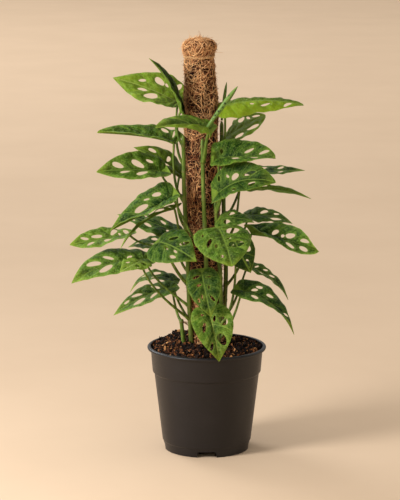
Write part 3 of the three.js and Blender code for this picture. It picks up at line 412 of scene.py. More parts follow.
def mesh_from(name, shape, values=None, smooth=True, crease=None):
    """A Blender mesh of a shape, with a number or vector a point for each named value.

    Edges that turn by more than crease, in degrees, stay sharp.
    """
    points, polygons = shape
    mesh = bpy.data.meshes.new(name)
    mesh.vertices.add(len(points))
    mesh.vertices.foreach_set("co", (points * MM).astype(np.float32).ravel())
    corners = np.concatenate([group.ravel() for group in polygons])
    sizes = np.concatenate([np.full(len(group), group.shape[1]) for group in polygons])
    mesh.loops.add(len(corners))
    mesh.loops.foreach_set("vertex_index", corners.astype(np.int32))
    mesh.polygons.add(len(sizes))
    mesh.polygons.foreach_set("loop_start", np.concatenate([[0], np.cumsum(sizes)[:-1]]).astype(np.int32))
    mesh.polygons.foreach_set("use_smooth", np.full(len(sizes), smooth))
    for key, numbers in (values or {}).items():
        numbers = np.asarray(numbers, np.float32)
        kind = "FLOAT" if numbers.ndim == 1 else "FLOAT_VECTOR"
        data = mesh.attributes.new(key, kind, "POINT").data
        data.foreach_set("value" if kind == "FLOAT" else "vector", numbers.ravel())
    mesh.update(calc_edges=True)
    mesh.validate()
    if crease:
        mesh.set_sharp_from_angle(angle=math.radians(crease))
    return mesh


def placed(name, data):
    """A new object with that data, linked into the scene."""
    thing = bpy.data.objects.new(name, data)
    bpy.context.scene.collection.objects.link(thing)
    return thing


def aimed(name, data, facts):
    """A camera or a lamp, at its place and turned towards its aim."""
    thing = placed(name, data)
    thing.location = facts["at"]
    towards = Vector(facts["aim"]) - Vector(facts["at"])
    thing.rotation_euler = towards.to_track_quat("-Z", "Y").to_euler()
    return thing


def piece(name, mesh, material, replaced=()):
    """The mesh as a piece of the plant, on the root body, standing for the CAD nodes it replaces."""
    thing = placed(name, mesh)
    mesh.materials.append(material)
    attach(thing, "root")
    if replaced:
        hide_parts(*replaced)


# Materials


def srgb(red, green, blue):
    """A colour from its screen values, 0 to 255, as the linear colour that shaders use (the sRGB curve)."""
    shares = [value / 255 for value in (red, green, blue)]
    return tuple(((v + 0.055) / 1.055) ** 2.4 if v > 0.04 else v / 12.92 for v in shares)


class Shader:
    """A material's node tree, with a short call for each kind of node that the plant's materials use.

    A colour is given as its red, green and blue on a screen, 0 to 255.
    """

    def __init__(self, name):
        self.material = bpy.data.materials.new(name)
        self.material.use_nodes = True
        self.tree = self.material.node_tree
        self.surface = self.tree.nodes["Principled BSDF"]

    def node(self, kind, inputs=(), **settings):
        made = self.tree.nodes.new("ShaderNode" + kind)
        for key, value in settings.items():
            setattr(made, key, value)
        for key, value in dict(inputs).items():
            self.give(made.inputs[key], value)
        return made

    def give(self, socket, value):
        """Links a socket to a node's output, or sets it to a number or a colour."""
        if isinstance(value, bpy.types.NodeSocket):
            self.tree.links.new(value, socket)
        elif isinstance(value, tuple) and len(value) == 3 and len(socket.default_value) == 4:
            socket.default_value = (*srgb(*value), 1)
        else:
            socket.default_value = value

    def set(self, **values):
        for key, value in values.items():
            self.give(self.surface.inputs[key.replace("_", " ")], value)

    def value(self, name):
        return self.node("Attribute", attribute_name=name).outputs["Fac"]

    def vector(self, name):
        return self.node("Attribute", attribute_name=name).outputs["Vector"]

    def place(self):
        """The point in the object's own space, in metres."""
        return self.node("TexCoord").outputs["Object"]

    def stretched(self, vector, scale):
        return self.node("Mapping", {"Vector": vector, "Scale": scale}).outputs["Vector"]

    def math(self, operation, a, b=0.0):
        return self.node("Math", {0: a, 1: b}, operation=operation).outputs[0]

    def noise(self, vector, scale, detail, roughness):
        given = {"Vector": vector, "Scale": scale, "Detail": detail, "Roughness": roughness}
        return self.node("TexNoise", given).outputs["Fac"]

    def cells(self, vector, scale, feature="F1"):
        given = {"Vector": vector, "Scale": scale}
        return self.node("TexVoronoi", given, feature=feature).outputs["Distance"]

    def range(self, value, low, high, start=0.0, stop=1.0):
        given = {"Value": value, "From Min": low, "From Max": high, "To Min": start, "To Max": stop}
        return self.node("MapRange", given).outputs[0]

    def mix(self, share, a, b):
        made = self.node("Mix", data_type="RGBA")
        for socket, value in zip((made.inputs[0], made.inputs[6], made.inputs[7]), (share, a, b)):
            self.give(socket, value)
        return made.outputs[2]

    def ramp(self, value, stops):
        """A colour for each value, through (value, colour) stops."""
        made = self.node("ValToRGB", {"Fac": value})
        elements = made.color_ramp.elements
        while len(elements) < len(stops):
            elements.new(0.5)
        for element, (at, colour) in zip(elements, stops):
            element.position = at
            element.color = (*srgb(*colour), 1)
        return made.outputs["Color"]

    def bump(self, height, strength, distance):
        given = {"Height": height, "Strength": strength, "Distance": distance}
        return self.node("Bump", given).outputs["Normal"]

    def tissue(self, weight, radius):
        """Lets light a little way in, as plant tissue does."""
        self.set(Subsurface_Weight=weight, Subsurface_Radius=radius, Subsurface_Scale=0.0015)


def blade_material():
    """Deep olive green, streaked along the side veins, paler at veins and tip, greyer below, with painted
    light and shade.
    """
    s = Shader("blade")
    flat, cell, rib, reach = s.vector("flat"), s.value("cell"), s.value("rib"), s.value("reach")
    under, young, edge, tint = s.value("under"), s.value("young"), s.value("edge"), s.value("tint")
    streak = s.noise(s.vector("grain"), 1.0, 3, 0.6)
    blotch = s.noise(flat, 0.08, 3, 0.6)
    sheen_shade_and_relief = s.noise(flat, 0.42, 4, 0.7)
    mixed = s.math("ADD", s.math("MULTIPLY", streak, 0.65), s.math("MULTIPLY", blotch, 0.35))
    old = s.ramp(mixed, [(0.37, (14, 40, 6)), (0.5, (42, 80, 12)), (0.65, (108, 138, 42))])
    fresh = s.ramp(mixed, [(0.37, (44, 80, 14)), (0.5, (82, 116, 28)), (0.65, (142, 164, 62))])
    top = s.mix(young, old, fresh)
    top = s.mix(s.range(rib, 1, 15, 0.7, 0), top, (10, 34, 4))
    # Painted light: the margins painted lighter, standing in for light shining through the thinner edge of
    # the blade.
    top = s.mix(s.range(edge, 0.5, 7, 0.5, 0), top, (120, 150, 54))
    # Painted sheen: pale greyish patches where the blade catches the light. Painted shade: near-black
    # patches.
    top = s.mix(s.range(sheen_shade_and_relief, 0.5, 0.66, 0, 0.42), top, (152, 174, 92))
    top = s.mix(s.range(sheen_shade_and_relief, 0.48, 0.36, 0, 0.5), top, (8, 26, 3))
    # Painted light and shade, blade by blade: a blade that gets more light is painted lighter and yellower,
    # one in shade darker.
    top = s.mix(s.range(tint, 0, 1, 0, 0.8), top, (136, 158, 22))
    top = s.mix(s.range(tint, 0, -1, 0, 0.85), top, (12, 38, 8))
    below = s.mix(young, (76, 102, 32), (130, 154, 52))
    below = s.mix(s.range(mixed, 0.4, 0.6, 0, 0.6), below, (108, 134, 50))
    colour = s.mix(under, top, below)
    beside = s.math("ABSOLUTE", s.math("SUBTRACT", s.math("FRACT", s.math("ADD", cell, 0.5)), 0.5))
    vein = s.range(beside, 0.014, 0.06, 1, 0)
    midrib = s.range(rib, 0.6, 1.5, 1, 0)
    lines = s.math("MAXIMUM", s.math("MULTIPLY", vein, 0.5), midrib)
    pale = s.mix(young, (126, 152, 58), (164, 184, 84))
    colour = s.mix(s.math("MULTIPLY", lines, 0.62), colour, pale)
    yellowing = s.math("MULTIPLY", s.range(reach, 0.76, 1.04, 0, 0.6), s.range(blotch, 0.4, 0.55, 0.2, 1))
    colour = s.mix(yellowing, colour, (142, 162, 44))
    # Painted highlight: a thin pale rim along the margins and windows, where their edges catch the light.
    margin = s.range(edge, 0.1, 1.2, 0.5, 0)
    colour = s.mix(margin, colour, (138, 160, 56))
    net = s.cells(flat, 0.42, "DISTANCE_TO_EDGE")
    height = s.math("ADD", s.range(net, 0, 0.25, 0, 0.35), s.math("MULTIPLY", sheen_shade_and_relief, 0.8))
    height = s.math("ADD", height, s.math("MULTIPLY", streak, 3))
    rough = s.math("ADD", s.range(sheen_shade_and_relief, 0.3, 0.7, 0.4, 0.54), s.math("MULTIPLY", under, 0.12))
    s.set(Base_Color=colour, Roughness=rough, Normal=s.bump(height, 0.6, 0.0015))
    s.tissue(0.12, (0.35, 1.0, 0.12))
    s.set(Specular_IOR_Level=0.09)
    return s.material


def stem_material():
    """Smooth olive stems, browner towards the soil and at the joints."""
    s = Shader("stem")
    place, age, ring = s.place(), s.value("age"), s.value("ring")
    streak = s.noise(s.stretched(place, (300, 300, 40)), 1.0, 4, 0.6)
    speck = s.noise(place, 900, 2, 0.6)
    colour = s.ramp(streak, [(0.3, (52, 74, 16)), (0.5, (88, 110, 34)), (0.7, (132, 150, 62))])
    colour = s.mix(s.range(age, 0.55, 1, 0, 0.5), colour, (88, 84, 36))
    colour = s.mix(s.range(ring, 0.3, 1, 0, 0.6), colour, (112, 100, 54))
    colour = s.mix(s.range(speck, 0.6, 0.75, 0, 0.35), colour, (156, 172, 92))
    rough = s.range(streak, 0.3, 0.7, 0.42, 0.58)
    s.set(Base_Color=colour, Roughness=rough, Normal=s.bump(streak, 0.4, 0.0008))
    s.tissue(0.1, (0.4, 1.0, 0.2))
    s.set(Specular_IOR_Level=0.25)
    return s.material


def root_material():
    """Dry brown aerial roots."""
    s = Shader("aerial_root")
    place = s.place()
    streak = s.noise(s.stretched(place, (500, 500, 120)), 1.0, 4, 0.6)
    colour = s.ramp(streak, [(0.3, (70, 48, 28)), (0.55, (112, 82, 50)), (0.75, (150, 118, 76))])
    s.set(Base_Color=colour, Roughness=0.85, Normal=s.bump(streak, 0.6, 0.0006))
    return s.material


def coir_material(name, dark, middle, light):
    """Coconut fibre: each strand has its own tone and changes along its length; painted light makes it
    lighter near the top, and painted shade darker lower down.
    """
    s = Shader(name)
    place, tone = s.place(), s.value("tone")
    drift = s.noise(place, 160, 3, 0.6)
    grain = s.noise(place, 1500, 2, 0.6)
    height = s.node("SeparateXYZ", {0: place}).outputs["Z"]
    mixed = s.math("ADD", tone, s.range(drift, 0.3, 0.7, -0.14, 0.14))
    mixed = s.math("ADD", mixed, s.range(grain, 0.3, 0.7, -0.1, 0.1))
    # Painted shade lower down, where the leaves shade the sleeve, and painted light at the cap, where the
    # light falls most.
    mixed = s.math("ADD", mixed, s.range(height, 0.42, 0.52, -0.12, 0.03))
    mixed = s.math("ADD", mixed, s.range(height, 0.55, 0.57, 0, 0.27))
    colour = s.ramp(mixed, [(0.15, dark), (0.5, middle), (0.9, light)])
    s.set(Base_Color=colour, Roughness=s.range(grain, 0.3, 0.7, 0.6, 0.8), Normal=s.bump(grain, 0.5, 0.0004))
    s.set(Specular_IOR_Level=0.2)
    return s.material


def wood_material():
    """The stake inside the coir: pale, with its grain along it."""
    s = Shader("stake_wood")
    place = s.place()
    grain = s.noise(s.stretched(place, (380, 380, 18)), 1.0, 5, 0.6)
    colour = s.ramp(grain, [(0.3, (112, 84, 52)), (0.5, (150, 118, 78)), (0.7, (178, 146, 102))])
    s.set(Base_Color=colour, Roughness=0.75, Normal=s.bump(grain, 0.5, 0.0006))
    return s.material


def soil_material():
    """The crumbly mix under the loose chips: its own dark brown, painted darker still as the shade in the
    gaps between the chips.
    """
    s = Shader("potting_mix")
    place = s.place()
    crumb = s.noise(place, 260, 6, 0.7)
    lump = s.cells(place, 190)
    colour = s.ramp(crumb, [(0.3, (12, 7, 5)), (0.55, (28, 17, 12)), (0.75, (60, 38, 26))])
    s.set(Base_Color=colour, Roughness=0.92, Normal=s.bump(s.math("ADD", crumb, lump), 1.0, 0.003))
    s.set(Specular_IOR_Level=0.2)
    return s.material


def chip_material():
    """Bark and coir chips, each with its own tone from near black to orange brown."""
    s = Shader("bark_chips")
    place, tone = s.place(), s.value("tone")
    grain = s.noise(s.stretched(place, (700, 700, 900)), 1.0, 4, 0.65)
    mixed = s.math("ADD", tone, s.range(grain, 0.3, 0.7, -0.12, 0.12))
    stops = [
        (0.05, (14, 8, 6)),
        (0.42, (36, 21, 13)),
        (0.64, (80, 45, 25)),
        (0.85, (146, 88, 48)),
        (1, (204, 148, 92)),
    ]
    s.set(Base_Color=s.ramp(mixed, stops), Roughness=0.85, Normal=s.bump(grain, 0.8, 0.0008))
    s.set(Specular_IOR_Level=0.2)
    return s.material


def pot_material():
    """Matt black recycled plastic, a little cloudy in tone, with a fine moulded grain and faint scuffs."""
    s = Shader("pot_plastic")
    place = s.place()
    grain = s.noise(place, 2600, 2, 0.5)
    cloud = s.noise(place, 28, 4, 0.6)
    scuff = s.noise(s.stretched(place, (60, 60, 420)), 1.0, 5, 0.7)
    colour = s.ramp(cloud, [(0.3, (15, 12, 14)), (0.55, (18, 14, 16)), (0.75, (24, 20, 21))])
    colour = s.mix(s.range(scuff, 0.6, 0.8, 0, 0.3), colour, (62, 54, 52))
    rough = s.math("ADD", s.range(cloud, 0.3, 0.7, 0.36, 0.46), s.range(scuff, 0.55, 0.8, 0, 0.12))
    height = s.math("ADD", s.math("MULTIPLY", grain, 0.5), s.math("MULTIPLY", scuff, 0.4))
    s.set(Base_Color=colour, Roughness=rough, Normal=s.bump(height, 0.35, 0.0003))
    s.set(Specular_IOR_Level=0.42)
    return s.material


def floor_material():
    """A plain pale floor with the faintest mottling."""
    s = Shader("pale_floor")
    cloud = s.noise(s.place(), 3.0, 4, 0.6)
    colour = s.ramp(cloud, [(0.35, (224, 194, 161)), (0.65, (228, 198, 165))])
    s.set(Base_Color=colour, Roughness=0.8)
    return s.material


# The blades. reach is how far along the midrib in blade lengths, and out is how far from it in half widths,
# negative on the left.


def blade_length(leaf):
    return np.linalg.norm(np.subtract(leaf["tip"], leaf["base"]))


def blade_frame(leaf):
    """A blade's base, the middle control point of its midrib, its tip, and its own way up."""
    base, tip, face = (np.array(leaf[key], float) for key in ("base", "tip", "face"))
    along = unit(tip - base)
    up = unit(face - face.dot(along) * along)
    across = np.cross(along, up)
    middle = base + (tip - base) * leaf.get("bend", 0.5)
    middle += 2 * leaf["arch"] * up + 2 * leaf.get("sweep", 0) * across
    return base, middle, tip, up


def margin_wave(facts, leaf, reach, side):
    """How far up the margin is waved, at each reach on each side."""
    phase = facts["count"] * reach + facts["leaf"] * leaf["seed"] + facts["side"] * side
    return facts["height"] * np.sin(TAU * phase)


def blade_point(leaf, reach, out):
    """Points of the blade's middle surface."""
    base, middle, tip, up = blade_frame(leaf)
    reach, out = np.asarray(reach, float)[:, None], np.asarray(out, float)[:, None]
    side, away, back = np.where(out < 0, -1.0, 1.0), np.abs(out), 1 - reach
    point = back**2 * base + 2 * back * reach * middle + reach**2 * tip
    tangent = unit(back * (middle - base) + reach * (tip - middle))
    normal = unit(up - (tangent @ up)[:, None] * tangent)
    angle = np.radians(leaf.get("twist", 0) * reach)
    normal = normal * np.cos(angle) + np.cross(tangent, normal) * np.sin(angle)
    right = np.cross(tangent, normal)
    half, fold = leaf["width"] / 2, math.radians(leaf["fold"])
    bend = (fold + math.radians(leaf["droop"]) + 0.001) / half
    turn = fold - bend * away * half
    sideways = (math.sin(fold) - np.sin(turn)) / bend
    lift = (np.cos(turn) - math.cos(fold)) / bend
    waves = margin_wave(WAVE, leaf, reach, side) + margin_wave(FRILL, leaf, reach, side)
    return point + right * side * sideways + normal * (lift + away**2 * waves)


def blade_normal(leaf, reach, out):
    """The way up from the blade's middle surface, at each of those points."""
    step = 0.01
    along = blade_point(leaf, reach + step, out) - blade_point(leaf, reach - step, out)
    across = blade_point(leaf, reach, out + step) - blade_point(leaf, reach, out - step)
    return unit(np.cross(across, along))


def outline_line():
    """The half outline as a fine line of evenly spaced points, which a share of it can be looked up in."""
    steps, count = 60, 801
    points = np.array(OUTLINE) * (1, BLADE["half_shape"])
    held = np.concatenate([points[:1], points, points[-1:]])
    curve = []
    for p0, p1, p2, p3 in zip(held, held[1:], held[2:], held[3:]):
        t = np.linspace(0, 1, steps)[:, None]
        v0, v1 = (p2 - p0) / 2, (p3 - p1) / 2
        cubic, square = 2 * p1 - 2 * p2 + v0 + v1, 3 * p2 - 3 * p1 - 2 * v0 - v1
        curve.append(cubic * t**3 + square * t**2 + v0 * t + p1)
    return spaced(np.concatenate(curve), count) / (1, BLADE["half_shape"])


MARGIN = outline_line()


def margin_point(leaf, share):
    """The reach and half width of the margin, at a share of the way along it from the stalk to the tip."""
    places = np.linspace(0, 1, len(MARGIN))
    width = np.clip(np.interp(share, places, MARGIN[:, 1]), 0, None)
    return np.interp(share, places, MARGIN[:, 0]), width ** leaf.get("full", 1)


def vein_root(i, cells):
    """Where side vein i leaves the midrib. The first and the last are the stalk and the tip."""
    if i in (0, cells):
        return i / cells
    return VEIN["root"] + VEIN["spread"] * (i - 1) / cells


def vein_end(i, cells):
    """The share of the margin where side vein i meets it."""
    return 0 if i == 0 else VEIN["end"] + (1 - VEIN["end"]) * (i - 1) / (cells - 1)


def vein_point(leaf, i, out):
    """Points of side vein i, at shares of its way from the midrib to the margin."""
    reach, width = margin_point(leaf, vein_end(i, leaf["cells"]))
    root = vein_root(i, leaf["cells"])
    return root + (reach - root) * np.abs(out) ** VEIN["bend"], width * out


def vein_reach(leaf, i, away):
    """How far along the midrib side vein i is, that far out, and on past the margin."""
    reach, width = margin_point(leaf, vein_end(i, leaf["cells"]))
    root = vein_root(i, leaf["cells"])
    return root + (reach - root) * (away / width) ** VEIN["bend"]


def cell_place(leaf, reach, out):
    """Which cell between the side veins a point is in, with how far across it as the fraction."""
    away, cells = np.abs(out), leaf["cells"]
    veins = [vein_reach(leaf, i, away) for i in range(1, cells)]
    first = veins[0]
    lobe = np.arctan2(away * BLADE["half_shape"], reach) - np.arctan2(away * BLADE["half_shape"], first)
    place = 1 - lobe / VEIN["lobe"]
    end = np.full(away.shape, VEIN["beyond"])
    for i, (near, far) in enumerate(zip(veins, [*veins[1:], end]), start=1):
        inside = i + (reach - near) / np.maximum(far - near, 0.02)
        place = np.where(reach >= near, np.minimum(inside, cells), place)
    return place


def ruled_window(leaf, i, size, side):
    """A window between two side veins, an oval along them, as (reach, out) points."""
    last = i == leaf["cells"] - 1
    place = "first" if i == 0 else "next"
    middle = RULED["out"]["last" if last else place]
    half = RULED["half"] * size * (RULED["last_size"] if last else 1)
    angle = np.linspace(0, TAU, WINDOW_POINTS, endpoint=False)
    out = middle + half * np.sin(angle)
    share = RULED["across"][place] + half * np.cos(angle)
    near, far = vein_point(leaf, i, out), vein_point(leaf, i + 1, out)
    reach, out = (a + (b - a) * share for a, b in zip(near, far))
    return np.stack([reach, side * out], axis=1)


def oval_window(leaf, length, entry):
    """A window from WINDOWS, an oval that is a little crooked, as (reach, out) points."""
    along, out, long, wide, turn = entry
    angle = np.linspace(0, TAU, WINDOW_POINTS, endpoint=False)
    crooked = 1 + 0.07 * np.sin(2 * angle + along) + 0.05 * np.sin(3 * angle + 2 * along)
    ahead, aside = long / 2 * np.cos(angle) * crooked, wide / 2 * np.sin(angle) * crooked
    cos, sin = math.cos(math.radians(turn)), math.sin(math.radians(turn))
    away = abs(out) + ahead * sin + aside * cos
    side = math.copysign(1, out)
    reach = (along + ahead * cos - aside * sin) / length
    return np.stack([reach, side * away / (leaf["width"] / 2)], axis=1)


def windows_on(leaf, length):
    """All windows of a blade, each as (reach, out) points."""
    if "windows" in leaf:
        return [oval_window(leaf, length, entry) for entry in leaf["windows"]]
    found = []
    for side in (1, -1):
        for i in range(leaf["cells"]):
            size = 0.75 + 0.5 * chance(7 * i + 13 * side + 50 * leaf["seed"])
            whole = i == leaf["cells"] - 1 and chance(leaf["seed"] + side) < 0.5
            if not whole:
                found.append(ruled_window(leaf, i, size, side))
    return found


def blade_loops(leaf):
    """The blade's outline and its windows, as closed lines of (reach, out) points."""
    length = blade_length(leaf)
    start, margin_length = 0.03, 1.25 * length
    share = np.linspace(start, 1, int(margin_length / BLADE["spacing"]))
    right = np.stack(margin_point(leaf, share), axis=1)
    left = (right * (1, -1))[-2::-1]
    outline = np.concatenate([[[0.0, 0.0]], right, left])
    return [outline, *windows_on(leaf, length)]


def inside(points, loop):
    """Which points are inside a closed line."""
    x, y = points[:, :1], points[:, 1:]
    (x1, y1), (x2, y2) = loop.T, np.roll(loop, -1, axis=0).T
    crosses = (y1 > y) != (y2 > y)
    with np.errstate(divide="ignore", invalid="ignore"):
        left = x < (x2 - x1) * (y - y1) / (y2 - y1) + x1
    return (crosses & left).sum(axis=1) % 2 == 1


def blade_plan(leaf):
    """The flat blade: its (reach, out) points, its triangles, and each point's way to an edge in mm."""
    length = blade_length(leaf)
    scale = np.array([length, leaf["width"] / 2])
    step = BLADE["spacing"]
    loops = [loop * scale for loop in blade_loops(leaf)]
    rows = np.concatenate([np.arange(1.9, scale[1] + step, step * 0.87), [0, 0.9]])
    grid = []
    for k, y in enumerate(np.unique(np.concatenate([-rows, rows]))):
        x = np.arange(-0.12 * length, length, step) + step / 2 * (k % 2)
        grid.append(np.stack([x, np.full(len(x), y)], axis=1))
    grid = np.concatenate(grid)
    grid = grid[inside(grid, loops[0])]
    for loop in loops[1:]:
        grid = grid[~inside(grid, loop)]
    border = np.concatenate(loops)
    far = np.sqrt(((grid[:, None] - border[None]) ** 2).sum(-1)).min(axis=1)
    grid = grid[far > 0.5 * step]
    edges, start = [], 0
    for loop in loops:
        index = np.arange(len(loop))
        edges += [(int(start + a), int(start + b)) for a, b in zip(index, np.roll(index, -1))]
        start += len(loop)
    flat = [Vector(p) for p in np.concatenate([border, grid])]
    found, _, faces, *_ = delaunay_2d_cdt(flat, edges, [], 2, 1e-5, False)
    found, faces = np.array(found), np.array(faces)
    centres = found[faces].mean(axis=1)
    for loop in loops[1:]:
        outside = ~inside(centres, loop)
        faces, centres = faces[outside], centres[outside]
    to_edge = np.sqrt(((found[:, None] - border[None]) ** 2).sum(-1)).min(axis=1)
    return found / scale, faces, to_edge


def skin_swell(leaf, flat, place, from_rib, edge):
    """How far the skin swells between the side veins and puckers, less so by the midrib and the edges."""
    half = leaf["width"] / 2
    quilt = np.abs(np.sin(math.pi * place)) ** 0.7
    swell = SKIN["swell"] * (half / SKIN["half_width"]) * quilt * smoothstep(0.5, 7, from_rib)
    swell += SKIN["pucker"] * wobble(flat, SKIN["pucker_size"], leaf["seed"]) * smoothstep(0.5, 4, from_rib)
    return swell * (0.35 + 0.65 * smoothstep(0, 5, edge))


def make_blade(leaf):
    """A blade with its thickness, its rib below and groove above, and its skin quilted between the veins."""
    plan, faces, edge = blade_plan(leaf)
    reach, out = plan[:, 0], plan[:, 1]
    half = leaf["width"] / 2
    from_rib = np.abs(out) * half
    place = cell_place(leaf, reach, out)
    count = len(plan)
    flat = np.stack([reach * blade_length(leaf), out * half, np.full(count, 37.0 * leaf["seed"])], axis=1)
    normal = blade_normal(leaf, reach, out)
    swell = skin_swell(leaf, flat, place, from_rib, edge)
    points = blade_point(leaf, reach, out) + normal * swell[:, None]
    body = BLADE["thickness"] / 2 * (0.45 + 0.55 * smoothstep(0, 2.5, edge))
    slimmer = np.clip(1 - 0.8 * reach, 0.1, 1)
    above = body - MIDRIB["groove"] * slimmer * bell(from_rib, MIDRIB["groove_width"])
    below = body + BLADE["rib"] * slimmer * bell(from_rib, MIDRIB["rib_width"])
    both = np.concatenate([points + normal * above[:, None], points - normal * below[:, None]])
    upper, lower = faces[:, ::-1], faces + count
    sides = np.concatenate([upper[:, [0, 1]], upper[:, [1, 2]], upper[:, [2, 0]]])
    open_edges = sides[~np.isin(sides[:, 0] * count + sides[:, 1], sides[:, 1] * count + sides[:, 0])]
    start, stop = open_edges.T
    walls = np.stack([stop, start, start + count, stop + count], axis=1)
    values = {
        "cell": place,
        "rib": from_rib,
        "edge": edge,
        "reach": reach,
        "flat": flat,
        "grain": np.stack([3 * place, 0.05 * from_rib, 7.0 * leaf["seed"] + 3 * (out > 0)], axis=1),
        "young": np.full(count, float(leaf.get("young", False))),
        "tint": np.where(out < 0, *np.broadcast_to(leaf.get("tint", 0.15), 2)),
    }
    values = {key: np.concatenate([numbers, numbers]) for key, numbers in values.items()}
    values["under"] = np.concatenate([np.zeros(count), np.ones(count)])
    return mesh_from("blade", (both, [upper, lower, walls]), values, crease=55)


def add_blades(material):
    for name, leaf in LEAVES.items():
        piece(f"blade_{name}", make_blade(leaf), material, [f"leaf_{name}"])


# The vines and their leaf stalks


def stalk_line(leaf, vine):
    """A stalk's line, up from its vine and under the blade's junction, where it turns into the midrib."""
    base = np.array(leaf["base"], float)
    foot = at_height(vine, leaf["start"])
    normal = blade_normal(leaf, np.array([0.001]), np.array([0.0]))[0]
    approach = unit(unit(base - foot) + 0.8 * normal)
    head = base - normal * 0.9
    span = np.linalg.norm(head - foot)
    away = unit((head - foot) * (1, 1, 0))
    first = foot + 0.18 * span * UP + 0.22 * span * away
    second = head - 0.35 * span * approach
    t = np.linspace(0, 1, 26)[:-1, None]
    line = (1 - t) ** 3 * foot + 3 * t * (1 - t) ** 2 * first + 3 * t * t * (1 - t) * second + t**3 * head
    reach = np.array([place for place, _ in STALK_TAIL])
    under = blade_point(leaf, reach, 0 * reach) - blade_normal(leaf, reach, 0 * reach) * 0.85
    return np.concatenate([line, [head], under])


def stalk_radii(count, stout):
    """Thick at the sheath, slim along the stalk, swollen again below the blade, then fading into the rib."""
    t = np.linspace(0, 1, count - len(STALK_TAIL))
    stalk = STALK["head"] + (STALK["foot"] - STALK["head"]) * (1 - t) + STALK["sheath"] * bell(t, 0.07)
    stalk += STALK["swelling"] * bell(t - 0.96, 0.05)
    return stout * np.concatenate([stalk, [radius for _, radius in STALK_TAIL]])


def vine_joints(name, vine):
    """The heights of a vine's joints: where its leaves start, and between them where a stretch is long."""
    starts = sorted(leaf["start"] for leaf in LEAVES.values() if leaf["vine"] == name)
    between = range(JOINT["lowest"], int(vine[-1, 2]) - 10, JOINT["spacing"])
    return starts + [at for at in between if all(abs(at - start) > JOINT["apart"] for start in starts)]


def make_vine(name):
    """A vine with its leaf stalks as a mesh, the heights of its joints, and its line."""
    path = VINES[name]
    foot = (path[0][0], path[0][1], path[0][2] - VINE["buried"])
    vine = spline([foot, *path], 170)
    joints = vine_joints(name, vine)
    share = np.linspace(0, 1, len(vine))
    ring = sum(bell(vine[:, 2] - height, JOINT["height"]) for height in joints)
    drift = wobble(vine, 30, 5)[:, None] * unit(vine[:, :2]) * 0.5
    vine[:, :2] += drift * smoothstep(0, 0.1, share)[:, None] * smoothstep(1, 0.9, share)[:, None]
    radii = VINE["foot"] + (VINE["head"] - VINE["foot"]) * share + JOINT["swelling"] * ring
    radii[-3:] *= (0.9, 0.65, 0.25)
    shapes, ages, rings = [tubes(vine[None], radii[None], VINE["sides"])], [1 - share], [ring]
    for leaf in LEAVES.values():
        if leaf["vine"] == name:
            line = stalk_line(leaf, vine)
            radii = stalk_radii(len(line), leaf.get("stout", 1))
            shapes.append(tubes(line[None], radii[None], STALK["sides"]))
            ages.append(np.full(len(line), 0.2 + 0.35 * chance(leaf["seed"])))
            rings.append(0.8 * np.exp(-np.arange(len(line)) / 1.2))
    sides = [VINE["sides"]] + [STALK["sides"]] * (len(shapes) - 1)
    values = {
        "age": np.concatenate([np.repeat(age, count) for age, count in zip(ages, sides)]),
        "ring": np.concatenate([np.repeat(ring, count) for ring, count in zip(rings, sides)]),
    }
    return mesh_from(name, joined(shapes), values), joints, vine


def add_vines(stem, root):
    draw = np.random.default_rng(11)
    lines, radii = [], []
    for name in VINES:
        mesh, joints, vine = make_vine(name)
        piece(f"stem_{name}", mesh, stem, [f"vine_{name}"])
        for height in joints:
            for _ in range(JOINT["roots"]):
                line, thickness = aerial_root(vine, height, draw)
                lines.append(line)
                radii.append(thickness)
    piece("aerial_roots", mesh_from("aerial_roots", tubes(lines, radii, 6)), root)


def aerial_root(vine, height, draw):
    """A short root from a joint, reaching in and down to grip the coir."""
    start = at_height(vine, height)
    axis = pole_axis_at(start[2])
    inward = unit((axis - start) * (1, 1, 0))
    sideways = np.cross(UP, inward) * draw.uniform(-0.9, 0.9)
    length = draw.uniform(9, 17)
    t = np.linspace(0, 1, 9)[:, None]
    direction = unit(inward + sideways)
    line = start + direction * length * t - UP * length * draw.uniform(0.1, 0.7) * t**2
    line += wobble(line, 5, int(draw.integers(1000)))[:, None] * 0.6 * t
    return line, 1.0 - 0.75 * t[:, 0]


# The leaves that are still rolled up


def make_rolled(leaf):
    """A scroll: its section winds once round with a step where the margin laps over."""
    base, tip = np.array(leaf["base"], float), np.array(leaf["tip"], float)
    middle = (base + tip) / 2 + (-1, 0, 1)
    steps, sides = 60, 28
    t = np.linspace(0, 1, steps)[:, None]
    spine = (1 - t) ** 2 * base + 2 * t * (1 - t) * middle + t * t * tip
    tangent = unit(np.gradient(spine, axis=0))
    across = unit(np.cross(tangent, UP))
    other = np.cross(tangent, across)
    share = t[:, 0]
    radius = 1.25 * leaf["radius"] * (0.66 + 0.4 * share - 0.96 * share**6)
    angle = np.arange(sides) / (sides - 1) * TAU
    turn = angle[None] + (2.6 * share - 0.6)[:, None]
    wind = 1.0 - 0.16 * angle[None] / TAU
    spoke = across[:, None] * np.cos(turn)[..., None] + other[:, None] * np.sin(turn)[..., None]
    points = spine[:, None] + spoke * (radius[:, None] * wind)[..., None]
    walls = ring_walls(np.arange(steps - 1)[:, None] * sides, sides)[:, [0, 3, 2, 1]]
    here = np.arange(sides)
    ends = [here[None], (here[::-1] + (steps - 1) * sides)[None]]
    length = np.linalg.norm(tip - base)
    wound = np.tile(angle / TAU, steps)
    along = np.repeat(share, sides)
    flat = np.stack([along * length, wound * 20, 0 * along], axis=1)
    return mesh_from("rolled", (points.reshape(-1, 3), [walls, *ends]), {"flat": flat}, crease=50)


